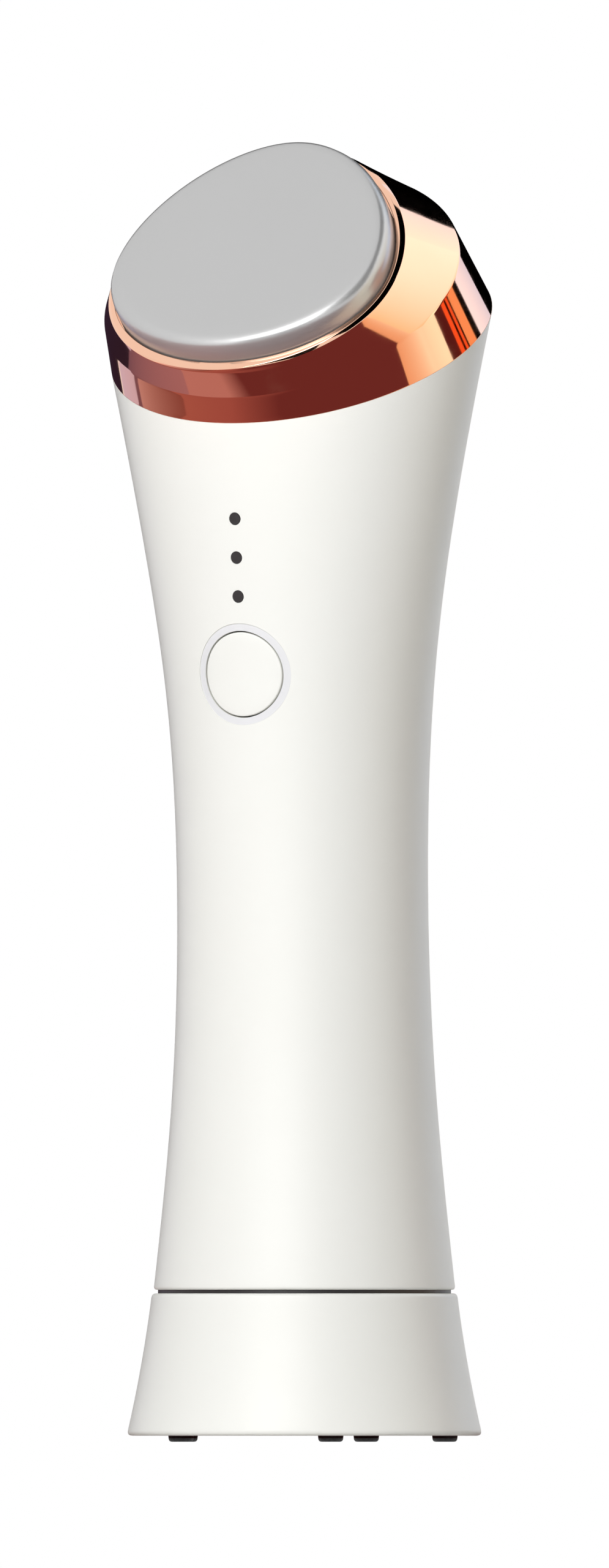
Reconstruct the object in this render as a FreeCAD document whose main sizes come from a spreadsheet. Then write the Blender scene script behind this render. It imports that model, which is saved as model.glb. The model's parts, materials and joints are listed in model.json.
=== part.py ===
import FreeCAD, Part
import math
import os
import re

import Sketcher

# Hot and cold face massager standing on its charging stand.
# Millimetres; +Z up, -Y is the front with the button, the origin is on the stand's axis at floor level.

doc = FreeCAD.newDocument("face_massager")
dims = doc.addObject("Spreadsheet::Sheet", "dims")

SIZES = {
    # general clearances
    "slip_gap": 0.2,
    "thread_gap": 0.06,
    # charging stand
    "foot_radius": 1.85,
    "foot_height": 0.85,
    "foot_sink": 0.8,
    "foot_edge": 5.8,
    "side_foot_edge": 4.2,
    "back_foot_angle": 90.0,
    "side_foot_angle": 81.0,
    "front_foot_angle": 141.9,
    "stand_bottom_radius": 24.7,
    "stand_top_radius": 21.2,
    "stand_height": 19.75,
    "stand_flare": 186.0,
    "stand_wall": 1.6,
    "stand_edge": 0.6,
    "stand_foot_edge": 0.8,
    "spigot_radius": 11.0,
    "spigot_height": 5.0,
    "base_plate_height": 2.0,
    "base_plate_gap": 0.5,
    "post_radius": 2.3,
    "post_inset": 7.7,
    "first_post_angle": 30.0,
    "post_step_angle": 120.0,
    "stand_screw_radius": 1.0,
    "stand_screw_length": 8.0,
    "screw_head_radius": 1.7,
    "screw_head_height": 1.1,
    # charging board, contacts and socket in the stand
    "contact_board_radius": 13.5,
    "contact_board_height": 1.2,
    "contact_board_drop": 3.6,
    "board_tongue_width": 12.0,
    "board_screw_radius": 0.8,
    "board_screw_length": 3.6,
    "board_screw_x": 9.0,
    "board_screw_y": 5.0,
    "contact_pitch": 11.0,
    "barrel_radius": 1.5,
    "barrel_wall": 0.4,
    "barrel_floor": 0.8,
    "pin_radius": 0.75,
    "pin_collar_radius": 1.0,
    "pin_collar_height": 2.0,
    "pin_spare_rise": 0.4,
    "pin_reach": 1.0,
    "socket_width": 8.94,
    "socket_height": 3.26,
    "socket_depth": 7.3,
    "socket_wall": 0.3,
    "socket_inset": 0.9,
    "socket_tongue_width": 6.69,
    "socket_tongue_height": 0.7,
    "socket_tongue_reach": 4.6,
    # handle: each ring of the hand grip is given by its rise over the one below, its half depth,
    # how much wider than deep it is, and how far it leans to the front
    "seam_gap": 0.5,
    "shell_wall": 2.0,
    "shell_edge": 0.5,
    "foot_depth": 20.95,
    "foot_oval": 0.0,
    "foot_lean": 0.0,
    "calf_rise": 23.5,
    "calf_depth": 18.62,
    "calf_oval": 0.0,
    "calf_lean": 0.05,
    "waist_rise": 30.5,
    "waist_depth": 17.4,
    "waist_oval": 0.05,
    "waist_lean": 0.56,
    "button_rise": 31.4,
    "button_depth": 17.8,
    "button_oval": 1.3,
    "button_lean": 1.55,
    "lamp_rise": 16.2,
    "lamp_depth": 18.6,
    "lamp_oval": 2.95,
    "lamp_lean": 2.25,
    "joint_rise": 30.5,
    "joint_depth": 24.5,
    "joint_oval": 3.1,
    "joint_lean": 0.8,
    "joint_tilt": 29.0,
    # head ring and massage plate
    "crease_rise": 7.2,
    "crease_reach": 6.1,
    "crease_depth": 22.9,
    "crease_oval": 3.45,
    "crease_tilt": 43.0,
    "lip_rise": 1.3,
    "lip_reach": 8.57,
    "lip_tilt": 46.0,
    "lip_width": 1.0,
    "lip_front_width": 1.55,
    "lip_back_width": 1.25,
    "lip_edge": 0.4,
    "ring_wall": 2.2,
    "skirt_wall": 1.4,
    "skirt_height": 4.0,
    "plate_half_width": 20.7,
    "plate_front": 16.6,
    "plate_back": 23.45,
    "back_fullness": 0.49,
    "round_fullness": 0.5523,
    "plate_proud": 3.6,
    "plate_round": 2.0,
    "plate_sunk": 1.0,
    "gasket_height": 0.5,
    "ledge_width": 4.5,
    "ledge_height": 1.5,
    # heat pump and heat sink behind the plate
    "peltier_width": 20.0,
    "ceramic_height": 0.8,
    "pellet_height": 1.6,
    "pellet_width": 1.4,
    "sink_width": 26.0,
    "sink_base_height": 2.5,
    "sink_ear_width": 8.0,
    "sink_boss_radius": 2.0,
    "sink_boss_inset": 2.9,
    "sink_screw_radius": 1.0,
    "sink_screw_length": 4.6,
    "fin_depth": 9.0,
    "fin_thickness": 1.2,
    "sensor_width": 2.4,
    "sensor_length": 2.0,
    "sensor_height": 1.2,
    # bottom cap of the handle
    "seam_inset": 0.6,
    "cap_flange": 2.5,
    "cap_wall": 1.5,
    "cap_ceiling": 2.0,
    "spigot_gap": 0.3,
    "pad_radius": 2.5,
    "cap_screw_inset": 2.95,
    "cap_screw_radius": 1.0,
    "cap_screw_length": 7.0,
    "cap_boss_width": 4.4,
    "cap_boss_height": 10.0,
    "frame_screw_y": 8.2,
    "frame_screw_radius": 1.0,
    "frame_screw_length": 4.4,
    # inner frame, battery and main board
    "frame_foot_radius": 12.8,
    "frame_foot_height": 3.0,
    "web_thickness": 1.6,
    "web_gap": 0.6,
    "cell_gap": 0.4,
    "cell_radius": 9.2,
    "cell_length": 63.5,
    "cell_back_gap": 1.2,
    "terminal_radius": 3.2,
    "terminal_height": 1.5,
    "clip_wall": 1.2,
    "clip_height": 8.0,
    "clip_rise": 12.0,
    "clip_wrap": 4.0,
    "board_width": 20.0,
    "board_length": 70.0,
    "board_thickness": 1.2,
    "board_boss_height": 1.8,
    "board_boss_radius": 1.9,
    "board_hole_inset": 3.0,
    "chip_width": 8.0,
    "chip_height": 1.2,
    "coil_radius": 3.2,
    "coil_height": 3.0,
    # vibration motor
    "motor_radius": 6.0,
    "motor_height": 17.0,
    "shelf_height": 2.0,
    "shelf_rim": 2.0,
    "collar_wall": 1.3,
    "collar_height": 6.0,
    "shaft_radius": 0.75,
    "shaft_length": 8.0,
    "weight_radius": 5.5,
    "weight_hub": 2.0,
    "weight_height": 5.0,
    "weight_gap": 1.2,
    # power button, switch and indicator lamps
    "button_tilt": 3.4,
    "button_radius": 5.85,
    "button_gap": 0.1,
    "button_sink": 0.1,
    "button_boss_radius": 8.6,
    "button_boss_depth": 3.2,
    "button_flange": 0.9,
    "button_flange_height": 0.8,
    "button_travel": 0.4,
    "stem_radius": 1.4,
    "dish_radius": 7.1,
    "dish_depth": 0.15,
    "switch_width": 6.0,
    "switch_height": 3.5,
    "plunger_radius": 1.6,
    "plunger_reach": 0.9,
    "plunger_depth": 1.0,
    "lamp_pitch": 5.4,
    "lamp_radius": 0.83,
    "lamp_shoulder": 0.5,
    "led_width": 1.6,
    "led_height": 0.8,
}

for row, (alias, size) in enumerate(SIZES.items(), start=1):
    dims.set(f"A{row}", alias)
    dims.set(f"B{row}", str(size))
    dims.setAlias(f"B{row}", alias)
doc.recompute()


def formula(text):
    """Turn the bare size names in a text into references to the sheet."""
    return re.sub(r"[a-z_]+", lambda word: "dims." + word[0] if word[0] in SIZES else word[0], text)


def number(text):
    """Value of a formula as the sheet stands now."""
    return float(dims.evalExpression(formula(text)))


def bind(thing, cells):
    """Tie properties of an object to formulas over the sheet."""
    for path, text in cells.items():
        thing.setExpression(path, formula(text))


# Levels and lines that several pieces share, as formulas over the sheet.
STAND_TOP = "(foot_height + stand_height)"
SPIGOT_TOP = f"({STAND_TOP} + spigot_height)"
HANDLE_BOTTOM = f"({STAND_TOP} + seam_gap)"
CEILING = f"({SPIGOT_TOP} + slip_gap)"
CAP_TOP = f"({CEILING} + cap_ceiling)"
CELL_BOTTOM = f"({CAP_TOP} + frame_foot_height)"
CELL_TOP = f"({CELL_BOTTOM} + cell_length + terminal_height)"
WAIST_LEVEL = f"({HANDLE_BOTTOM} + calf_rise + waist_rise)"
BUTTON_LEVEL = f"({WAIST_LEVEL} + button_rise)"
LAMP_LEVEL = f"({BUTTON_LEVEL} + lamp_rise)"
JOINT_LEVEL = f"({LAMP_LEVEL} + joint_rise)"
JOINT_Y = "(0 - joint_lean)"
CREASE_LEVEL = f"({JOINT_LEVEL} + crease_rise)"
CREASE_Y = f"({JOINT_Y} - crease_reach)"
HEAD_LEVEL = f"({CREASE_LEVEL} + lip_rise)"
HEAD_Y = f"({CREASE_Y} - lip_reach)"
CELL_Y = "(waist_depth - waist_lean - shell_wall - cell_back_gap - cell_radius)"
WEB_BACK = f"({CELL_Y} - cell_radius - cell_gap)"
WEB_FRONT = f"({WEB_BACK} - web_thickness)"
BOARD_BACK = f"({WEB_FRONT} - board_boss_height)"
BOARD_FRONT = f"({BOARD_BACK} - board_thickness)"
BOARD_TOP = f"({LAMP_LEVEL} + 2 * lamp_pitch - board_hole_inset / 2)"
WAIST_INNER = "(waist_depth - shell_wall - web_gap)"
SWITCH_FRONT = f"({BOARD_FRONT} - switch_height)"
BUTTON_FACE_Y = "(0 - button_lean - button_depth)"
CONTACT_BOARD_TOP = f"({STAND_TOP} - stand_wall - contact_board_drop)"
CONTACT_BOARD_BOTTOM = f"({CONTACT_BOARD_TOP} - contact_board_height)"
SOCKET_LEVEL = f"({CONTACT_BOARD_BOTTOM} - socket_height / 2)"
STAND_SLOPE = "((stand_bottom_radius - stand_top_radius) / stand_height)"
SOCKET_MOUTH = f"(stand_top_radius + {STAND_SLOPE} * ({STAND_TOP} - {SOCKET_LEVEL}) - socket_inset)"
POST_CIRCLE = "(stand_bottom_radius - post_inset)"
POST_ANGLES = [f"(first_post_angle + {index} * post_step_angle)" for index in range(3)]
POST_PLACES = [(f"{POST_CIRCLE} * cos({angle})", f"{POST_CIRCLE} * sin({angle})") for angle in POST_ANGLES]
CAP_SCREW_X = "(foot_depth - shell_wall - cap_screw_inset)"
MOTOR_BOTTOM = f"({CELL_TOP} + cell_gap + shelf_height)"
MOTOR_TOP = f"({MOTOR_BOTTOM} + motor_height)"
PLATE_MIDDLE = "((plate_back - plate_front) / 2)"
LEDGE_TOP = "(0 - plate_sunk - gasket_height)"
LEDGE_LOW = f"({LEDGE_TOP} - ledge_height)"
COLD_LOW = "(0 - plate_sunk - ceramic_height)"
PELLET_LOW = f"({COLD_LOW} - pellet_height)"
HOT_LOW = f"({PELLET_LOW} - ceramic_height)"
SINK_LOW = f"({HOT_LOW} - sink_base_height)"
SINK_SCREW_X = "(plate_half_width - sink_boss_inset)"

NODES = []
AXIS_X = FreeCAD.Vector(1, 0, 0)
AXIS_Z = FreeCAD.Vector(0, 0, 1)


def keep(thing, label):
    """Name a finished sub-part and put it on the list of files to write."""
    thing.Label = label
    NODES.append(thing)
    return thing


def put(thing, x="0", y="0", z="0", axis=AXIS_Z, angle="0"):
    """Place an object by formulas, turned by an angle about an axis."""
    thing.Placement = FreeCAD.Placement(FreeCAD.Vector(0, 0, 0), FreeCAD.Rotation(axis, 30))
    bind(thing, {"Placement.Base.x": x, "Placement.Base.y": y, "Placement.Base.z": z})
    bind(thing, {"Placement.Rotation.Angle": angle})
    return thing


def block(name, size, x="0", y="0", z="0"):
    """Box of three lengths, centred on x and y, standing on z."""
    thing = doc.addObject("Part::Box", name)
    bind(thing, {"Length": size[0], "Width": size[1], "Height": size[2]})
    return put(thing, f"{x} - ({size[0]}) / 2", f"{y} - ({size[1]}) / 2", z)


def rod(name, radius, height, x="0", y="0", z="0", forward=False):
    """Cylinder that stands on its foot point, or points to the front from it."""
    thing = doc.addObject("Part::Cylinder", name)
    bind(thing, {"Radius": radius, "Height": height})
    return put(thing, x, y, z, AXIS_X, "90" if forward else "0")


def taper(name, low_radius, high_radius, height, x="0", y="0", z="0"):
    """Cone frustum that stands on its foot point."""
    thing = doc.addObject("Part::Cone", name)
    bind(thing, {"Radius1": low_radius, "Radius2": high_radius, "Height": height})
    return put(thing, x, y, z)


def fuse(name, *things):
    thing = doc.addObject("Part::MultiFuse", name)
    thing.Shapes = list(things)
    thing.Refine = True
    return thing


def cut(name, base, *tools):
    thing = doc.addObject("Part::Cut", name)
    thing.Base = base
    thing.Tool = tools[0] if len(tools) == 1 else group(name + "_tools", *tools)
    return thing


def common(name, first, second):
    thing = doc.addObject("Part::Common", name)
    thing.Base = first
    thing.Tool = second
    return thing


def group(name, *things):
    thing = doc.addObject("Part::Compound", name)
    thing.Links = list(things)
    return thing


def edges_where(shape, test):
    """Numbers of a shape's edges that pass a test."""
    return [index for index, edge in enumerate(shape.Edges, start=1) if test(edge)]


def round_edges(name, base, radius, test):
    """Fillet of one radius on the edges that pass a test."""
    doc.recompute()
    thing = doc.addObject("Part::Fillet", name)
    thing.Base = base
    thing.Edges = [(index, number(radius), number(radius)) for index in edges_where(base.Shape, test)]
    return thing


def lies_at(edge, z):
    """True where a whole edge lies at one level."""
    box = edge.BoundBox
    return abs(box.ZMin - z) < 0.01 and abs(box.ZMax - z) < 0.01


def rings(edge, z, radius):
    """True for a whole circle about the Z axis, at one level and of one radius."""
    return lies_at(edge, z) and abs(edge.BoundBox.XLength / 2 - radius) < 0.01


def origin_plane(body, role):
    return next(item for item in body.Origin.OriginFeatures if item.Role == role)


def turned(name, corners, flares=None):
    """Body turned about its Z axis from an outline of (radius, height) formulas.

    flares gives, by the number of its first corner, the radius of an edge that bows towards the axis.
    """
    flares = flares or {}
    body = doc.addObject("PartDesign::Body", name)
    sketch = body.newObject("Sketcher::SketchObject", name + "_outline")
    sketch.AttachmentSupport = [(origin_plane(body, "XZ_Plane"), "")]
    sketch.MapMode = "FlatFace"
    points = [FreeCAD.Vector(number(radius), number(height), 0) for radius, height in corners]
    ends = []
    for index, point in enumerate(points):
        after = points[(index + 1) % len(points)]
        if index in flares:
            sketch.addGeometry(bowed_edge(point, after, number(flares[index])))
            forward = sketch.getPoint(index, 1).distanceToPoint(point) < 0.001
            ends.append((1, 2) if forward else (2, 1))
        else:
            sketch.addGeometry(Part.LineSegment(point, after))
            ends.append((1, 2))
    for index, (start, end) in enumerate(ends):
        after = (index + 1) % len(points)
        sketch.addConstraint(Sketcher.Constraint("Coincident", index, end, after, ends[after][0]))
    for index, (radius, height) in enumerate(corners):
        start = ends[index][0]
        pin_corner(sketch, index, start, "DistanceX", -2, radius)
        pin_corner(sketch, index, start, "DistanceY", -1, height)
    for index, radius in flares.items():
        sketch.addConstraint(Sketcher.Constraint("Radius", index, number(radius)))
        sketch.setExpression(f"Constraints[{sketch.ConstraintCount - 1}]", formula(radius))
    turn = body.newObject("PartDesign::Revolution", name + "_turn")
    turn.Profile = sketch
    turn.ReferenceAxis = (sketch, ["V_Axis"])
    turn.Angle = 360
    return body


def bowed_edge(start, end, radius):
    """Arc between two points of an outline, bowed towards the axis of turning."""
    chord = end - start
    middle = (start + end) / 2
    inward = FreeCAD.Vector(-abs(chord.y), chord.x * math.copysign(1, chord.y), 0).normalize()
    sagitta = radius - math.sqrt(radius**2 - (chord.Length / 2) ** 2)
    return Part.Arc(start, middle + inward * sagitta, end)


def pin_corner(sketch, index, position, kind, axis, text):
    """Hold one corner of a sketch at a formula's distance from an axis, or on that axis."""
    if text == "0":
        sketch.addConstraint(Sketcher.Constraint("PointOnObject", index, position, axis))
        return
    sketch.addConstraint(Sketcher.Constraint(kind, -1, 1, index, position, number(text)))
    sketch.setExpression(f"Constraints[{sketch.ConstraintCount - 1}]", formula(text))


def oval(name, half_width, front, back, y="0", z="0", tilt="0"):
    """Closed outline of two half ellipses that meet at the widest place, tilted up towards the back."""
    corner_angles = ((0, 90, back), (90, 180, back), (180, 270, front), (270, 360, front))
    edges = []
    for first, last, reach in corner_angles:
        arc = Part.makeCircle(1, FreeCAD.Vector(0, 0, 0), AXIS_Z, first, last)
        stretch = FreeCAD.Matrix()
        stretch.scale(number(half_width), number(reach), 1)
        edges.append(arc.transformGeometry(stretch).Edges[0])
    thing = doc.addObject("Part::Feature", name)
    thing.Shape = Part.Wire(edges)
    return put(thing, "0", y, z, AXIS_X, tilt)


def egg(name, half_width, front, back, y="0", z="0", tilt="0"):
    """Closed outline of four curves, round at the front and with straighter flanks towards the back."""
    width = number(half_width)
    back_end = (number(back), number("back_fullness"))
    front_end = (-number(front), number("round_fullness"))
    edges = []
    corners = ((width, back_end), (-width, back_end), (-width, front_end), (width, front_end))
    for x, (reach, fullness) in corners:
        poles = [(x, 0), (x, fullness * reach), (fullness * x, reach), (0, reach)]
        if x * reach < 0:
            poles.reverse()
        curve = Part.BezierCurve()
        curve.setPoles([FreeCAD.Vector(*pole, 0) for pole in poles])
        edges.append(curve.toBSpline().toShape())
    thing = doc.addObject("Part::Feature", name)
    thing.Shape = Part.Wire(edges)
    return put(thing, "0", y, z, AXIS_X, tilt)


def loft(name, sections, ruled=False):
    thing = doc.addObject("Part::Loft", name)
    thing.Sections = sections
    thing.Solid = True
    thing.Ruled = ruled
    return thing


def prism(name, outline, height):
    """Solid raised from a flat outline along its own normal."""
    thing = doc.addObject("Part::Extrusion", name)
    thing.Base = outline
    thing.DirMode = "Normal"
    thing.Solid = True
    bind(thing, {"LengthFwd": height})
    return thing


def on_head(thing):
    """Put a piece modelled in the head's own frame into place: its Z is square to the massage plate."""
    return put(thing, "0", HEAD_Y, HEAD_LEVEL, AXIS_X, "lip_tilt")


def on_button_axis(thing):
    """Put a piece modelled in the button's own frame into place: its Z points out of the handle."""
    return put(thing, "0", BUTTON_FACE_Y, BUTTON_LEVEL, AXIS_X, "90 + button_tilt")


def screw(name, radius, length, x="0", y="0", z="0"):
    """Pan-head screw pointing up, with the top of its head at z."""
    head = rod(name + "_head", "screw_head_radius", "screw_head_height", x, y, f"{z} - screw_head_height")
    shank = rod(name + "_shank", radius, length, x, y, z)
    return fuse(name, head, shank)


# Handle skin: one loft through the rings of the grip, ending in the tilted plane under the head ring.
RINGS = (
    ("foot", HANDLE_BOTTOM),
    ("calf", f"({HANDLE_BOTTOM} + calf_rise)"),
    ("waist", WAIST_LEVEL),
    ("button", BUTTON_LEVEL),
    ("lamp", LAMP_LEVEL),
    ("joint", JOINT_LEVEL),
)


def grip_form(name, inset):
    """Solid inside the handle's skin, drawn in by an inset."""
    sections = []
    for ring, level in RINGS:
        depth = f"{ring}_depth - ({inset})"
        tilt = "joint_tilt" if ring == "joint" else "0"
        width = f"{depth} + {ring}_oval"
        sections.append(oval(f"{name}_{ring}", width, depth, depth, f"0 - {ring}_lean", level, tilt))
    return loft(name, sections)


outer_form = grip_form("outer_form", "0")
cavity_form = grip_form("cavity_form", "shell_wall")
fitted_form = grip_form("fitted_form", "shell_wall + slip_gap")
skirt_core = grip_form("skirt_core", "shell_wall + slip_gap + skirt_wall")


def make_stand():
    """Turned stand with its centring spigot, inner posts, contact holes and socket slot."""
    wall_top = f"{STAND_TOP} - stand_wall"
    spigot_ceiling = f"{SPIGOT_TOP} - stand_wall"
    body = turned(
        "stand_body",
        [
            ("stand_bottom_radius", "foot_height"),
            ("stand_top_radius", STAND_TOP),
            ("spigot_radius", STAND_TOP),
            ("spigot_radius", SPIGOT_TOP),
            ("0", SPIGOT_TOP),
            ("0", spigot_ceiling),
            ("spigot_radius - stand_wall", spigot_ceiling),
            ("spigot_radius - stand_wall", wall_top),
            ("stand_top_radius - stand_wall", wall_top),
            ("stand_bottom_radius - stand_wall", "foot_height"),
        ],
        {0: "stand_flare", 8: "stand_flare"},
    )
    rim = number("stand_top_radius")
    top = number(STAND_TOP)
    spigot = number(SPIGOT_TOP)
    foot_radius = number("stand_bottom_radius")
    upper = round_edges(
        "stand_upper",
        body,
        "stand_edge",
        lambda edge: rings(edge, top, rim) or rings(edge, spigot, number("spigot_radius")),
    )
    smooth = round_edges(
        "stand_smooth", upper, "stand_foot_edge", lambda edge: rings(edge, number("foot_height"), foot_radius)
    )
    post_bottom = "foot_height + base_plate_height"
    posts = []
    holes = []
    for index, (x, y) in enumerate(POST_PLACES):
        height = f"{wall_top} - ({post_bottom}) + stand_wall / 2"
        posts.append(rod(f"stand_post_{index}", "post_radius", height, x, y, post_bottom))
        pilot = "stand_screw_radius + thread_gap"
        depth = "stand_screw_length"
        holes.append(rod(f"stand_pilot_{index}", pilot, depth, x, y, post_bottom))
    for side in ("-", ""):
        x = f"{side}board_screw_x"
        y = "0 - board_screw_y"
        drop = "contact_board_drop + stand_wall / 2"
        posts.append(rod(f"board_post{side or '+'}", "post_radius", drop, x, y, CONTACT_BOARD_TOP))
        pilot = "board_screw_radius + thread_gap"
        holes.append(rod(f"board_pilot{side or '+'}", pilot, "board_screw_length", x, y, CONTACT_BOARD_TOP))
        opening = "pin_radius + slip_gap"
        contact = f"{side}contact_pitch / 2"
        height = "stand_wall * 2"
        holes.append(rod(f"pin_hole{side or '+'}", opening, height, contact, "0", spigot_ceiling))
    slot = stadium("socket_slot", "slip_gap", SOCKET_MOUTH, "stand_wall * 3 + socket_inset", "stand_wall * 2")
    keep(cut("stand_cut", fuse("stand_whole", smooth, *posts), *holes, slot), "stand_shell")


def stadium(name, margin, mouth, ahead, behind):
    """Flat bar with round sides, along Y through the socket's mouth."""
    thick = f"socket_height + 2 * {margin}"
    run = f"({ahead}) + ({behind})"
    straight = "socket_width - socket_height"
    start = f"{mouth} + ({ahead})"
    middle = f"{mouth} + (({ahead}) - ({behind})) / 2"
    low = f"{SOCKET_LEVEL} - ({thick}) / 2"
    pieces = [block(name + "_bar", (straight, run, thick), "0", middle, low)]
    for side in ("-", ""):
        x = f"{side}({straight}) / 2"
        pieces.append(rod(f"{name}_side{side or '+'}", f"({thick}) / 2", run, x, start, SOCKET_LEVEL, True))
    return fuse(name, *pieces)


def make_stand_base():
    """Base plate with its rubber feet and the three screws that hold it."""
    radius = "stand_bottom_radius - stand_wall - base_plate_gap"
    disc = rod("base_disc", radius, "base_plate_height", "0", "0", "foot_height")
    turns = [("foot_edge", "0")]
    for side in ("-", ""):
        turns += [("side_foot_edge", f"{side}side_foot_angle"), ("foot_edge", f"{side}front_foot_angle")]
    feet = []
    holes = []
    for index, (edge, turn) in enumerate(turns):
        angle = f"(back_foot_angle + {turn})"
        x = f"(stand_bottom_radius - {edge}) * cos({angle})"
        y = f"(stand_bottom_radius - {edge}) * sin({angle})"
        feet.append(rod(f"foot_{index}", "foot_radius", "foot_height + foot_sink", x, y, "0"))
        seat = "foot_radius + slip_gap / 2"
        holes.append(rod(f"foot_seat_{index}", seat, "foot_height + foot_sink", x, y))
    screws = []
    head_seat = "foot_height + screw_head_height + slip_gap"
    for index, (x, y) in enumerate(POST_PLACES):
        length = "stand_screw_length"
        screws.append(screw(f"stand_screw_{index}", "stand_screw_radius", length, x, y, head_seat))
        holes.append(rod(f"head_seat_{index}", "screw_head_radius + slip_gap", head_seat, x, y))
        hole = "stand_screw_radius + thread_gap"
        holes.append(rod(f"shank_hole_{index}", hole, length, x, y))
    keep(cut("base_cut", disc, *holes), "stand_base_plate")
    keep(group("feet", *feet), "rubber_feet")
    keep(group("base_screws", *screws), "stand_screws")


def make_charging_parts():
    """Board, socket and sprung contacts inside the stand."""
    disc = rod("contact_disc", "contact_board_radius", "contact_board_height", "0", "0", CONTACT_BOARD_BOTTOM)
    reach = f"{SOCKET_MOUTH} - socket_depth / 3"
    size = ("board_tongue_width", reach, "contact_board_height")
    tongue = block("contact_tongue", size, "0", f"({reach}) / 2", CONTACT_BOARD_BOTTOM)
    holes = []
    screws = []
    barrels = []
    for side in ("-", ""):
        mark = "left" if side else "right"
        x = f"{side}board_screw_x"
        y = "0 - board_screw_y"
        hole = "board_screw_radius + thread_gap"
        holes.append(rod(f"contact_hole_{mark}", hole, "contact_board_height", x, y, CONTACT_BOARD_BOTTOM))
        seat = CONTACT_BOARD_BOTTOM
        screws.append(screw(f"contact_screw_{mark}", "board_screw_radius", "board_screw_length", x, y, seat))
        barrels.append(make_contact(mark, f"{side}contact_pitch / 2"))
    board = fuse("contact_board_whole", disc, tongue)
    keep(cut("contact_board_cut", board, *holes), "charging_board")
    keep(group("contact_screws", *screws), "charging_board_screws")
    keep(group("barrels", *barrels), "contact_barrels")
    outside = stadium("socket_outside", "0", SOCKET_MOUTH, "0", "socket_depth")
    inside = stadium("socket_inside", "(0 - socket_wall)", SOCKET_MOUTH, "1", "socket_depth - socket_wall")
    keep(cut("socket_can", outside, inside), "charging_socket")
    deep = f"{SOCKET_MOUTH} - socket_depth + socket_wall"
    size = ("socket_tongue_width", "socket_tongue_reach", "socket_tongue_height")
    low = f"{SOCKET_LEVEL} - socket_tongue_height / 2"
    keep(block("socket_blade", size, "0", f"{deep} + socket_tongue_reach / 2", low), "socket_tongue")


def make_contact(mark, x):
    """One sprung contact: returns its barrel and keeps its pin as a sub-part."""
    height = f"{SPIGOT_TOP} - stand_wall - {CONTACT_BOARD_TOP}"
    tube = rod(f"barrel_{mark}", "barrel_radius", height, x, "0", CONTACT_BOARD_TOP)
    bore_low = f"{CONTACT_BOARD_TOP} + barrel_floor"
    bore_height = f"{height} - 2 * barrel_floor"
    bore = rod(f"bore_{mark}", "barrel_radius - barrel_wall", bore_height, x, "0", bore_low)
    mouth = rod(f"mouth_{mark}", "pin_radius + slip_gap / 2", f"{height} - barrel_floor", x, "0", bore_low)
    collar_top = f"({SPIGOT_TOP} - stand_wall - barrel_floor - pin_spare_rise)"
    collar_low = f"{collar_top} - pin_collar_height"
    collar = rod(f"collar_{mark}", "pin_collar_radius", "pin_collar_height", x, "0", collar_low)
    tip = rod(f"tip_{mark}", "pin_radius", f"{SPIGOT_TOP} + pin_reach - {collar_top}", x, "0", collar_top)
    keep(fuse(f"pin_{mark}", collar, tip), f"contact_pin_{mark}")
    return cut(f"barrel_cut_{mark}", tube, bore, mouth)


def make_bottom_cap():
    """Cap of the handle: a plug in its mouth, a cup for the spigot and a base that shows as the seam."""
    recess = "spigot_radius + spigot_gap"
    cup = f"{recess} + cap_wall"
    flange_top = f"{HANDLE_BOTTOM} + cap_flange"
    blank = turned(
        "cap_blank",
        [
            (recess, HANDLE_BOTTOM),
            ("foot_depth", HANDLE_BOTTOM),
            ("foot_depth", flange_top),
            (cup, flange_top),
            (cup, CAP_TOP),
            ("0", CAP_TOP),
            ("0", CEILING),
            (recess, CEILING),
        ],
    )
    base = rod("cap_base", "foot_depth - seam_inset", "seam_gap", "0", "0", STAND_TOP)
    whole = fuse("cap_whole", common("cap_plug", blank, fitted_form), base)
    holes = []
    pads = []
    cap_screws = []
    frame_screws = []
    holes.append(rod("cap_recess", recess, "seam_gap", "0", "0", STAND_TOP))
    head_seat = f"{STAND_TOP} + screw_head_height"
    for side in ("-", ""):
        mark = "left" if side else "right"
        contact = f"{side}contact_pitch / 2"
        pad_low = f"{SPIGOT_TOP} + pin_reach"
        pads.append(rod(f"pad_{mark}", "pad_radius", f"{CAP_TOP} - ({pad_low})", contact, "0", pad_low))
        holes.append(rod(f"pad_hole_{mark}", "pad_radius + thread_gap", "cap_ceiling", contact, "0", CEILING))
        x = f"{side}{CAP_SCREW_X}"
        length = "cap_screw_length"
        cap_screws.append(screw(f"cap_screw_{mark}", "cap_screw_radius", length, x, "0", head_seat))
        seat = "screw_head_radius + thread_gap"
        holes.append(rod(f"cap_seat_{mark}", seat, "screw_head_height", x, "0", STAND_TOP))
        hole = "cap_screw_radius + thread_gap"
        holes.append(rod(f"cap_hole_{mark}", hole, "seam_gap + cap_flange", x, "0", STAND_TOP))
        y = f"{side}frame_screw_y"
        frame_screws.append(countersunk(f"frame_screw_{mark}", "0", y, "0"))
        holes.append(countersunk(f"frame_hole_{mark}", "0", y, "thread_gap"))
    keep(cut("cap_cut", whole, *holes), "bottom_cap")
    keep(group("pads", *pads), "charging_pads")
    keep(group("cap_screw_pair", *cap_screws), "bottom_cap_screws")
    keep(group("frame_screw_pair", *frame_screws), "frame_screws")


def countersunk(name, x, y, gap):
    """Flat-head screw driven up through the cap's ceiling, or with a gap the hole for it."""
    radius = f"frame_screw_radius + {gap}"
    head = taper(name + "_head", f"screw_head_radius + {gap}", radius, "screw_head_height", x, y, CEILING)
    shank = rod(name + "_shank", radius, "frame_screw_length", x, y, CEILING)
    return fuse(name, head, shank)


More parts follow.
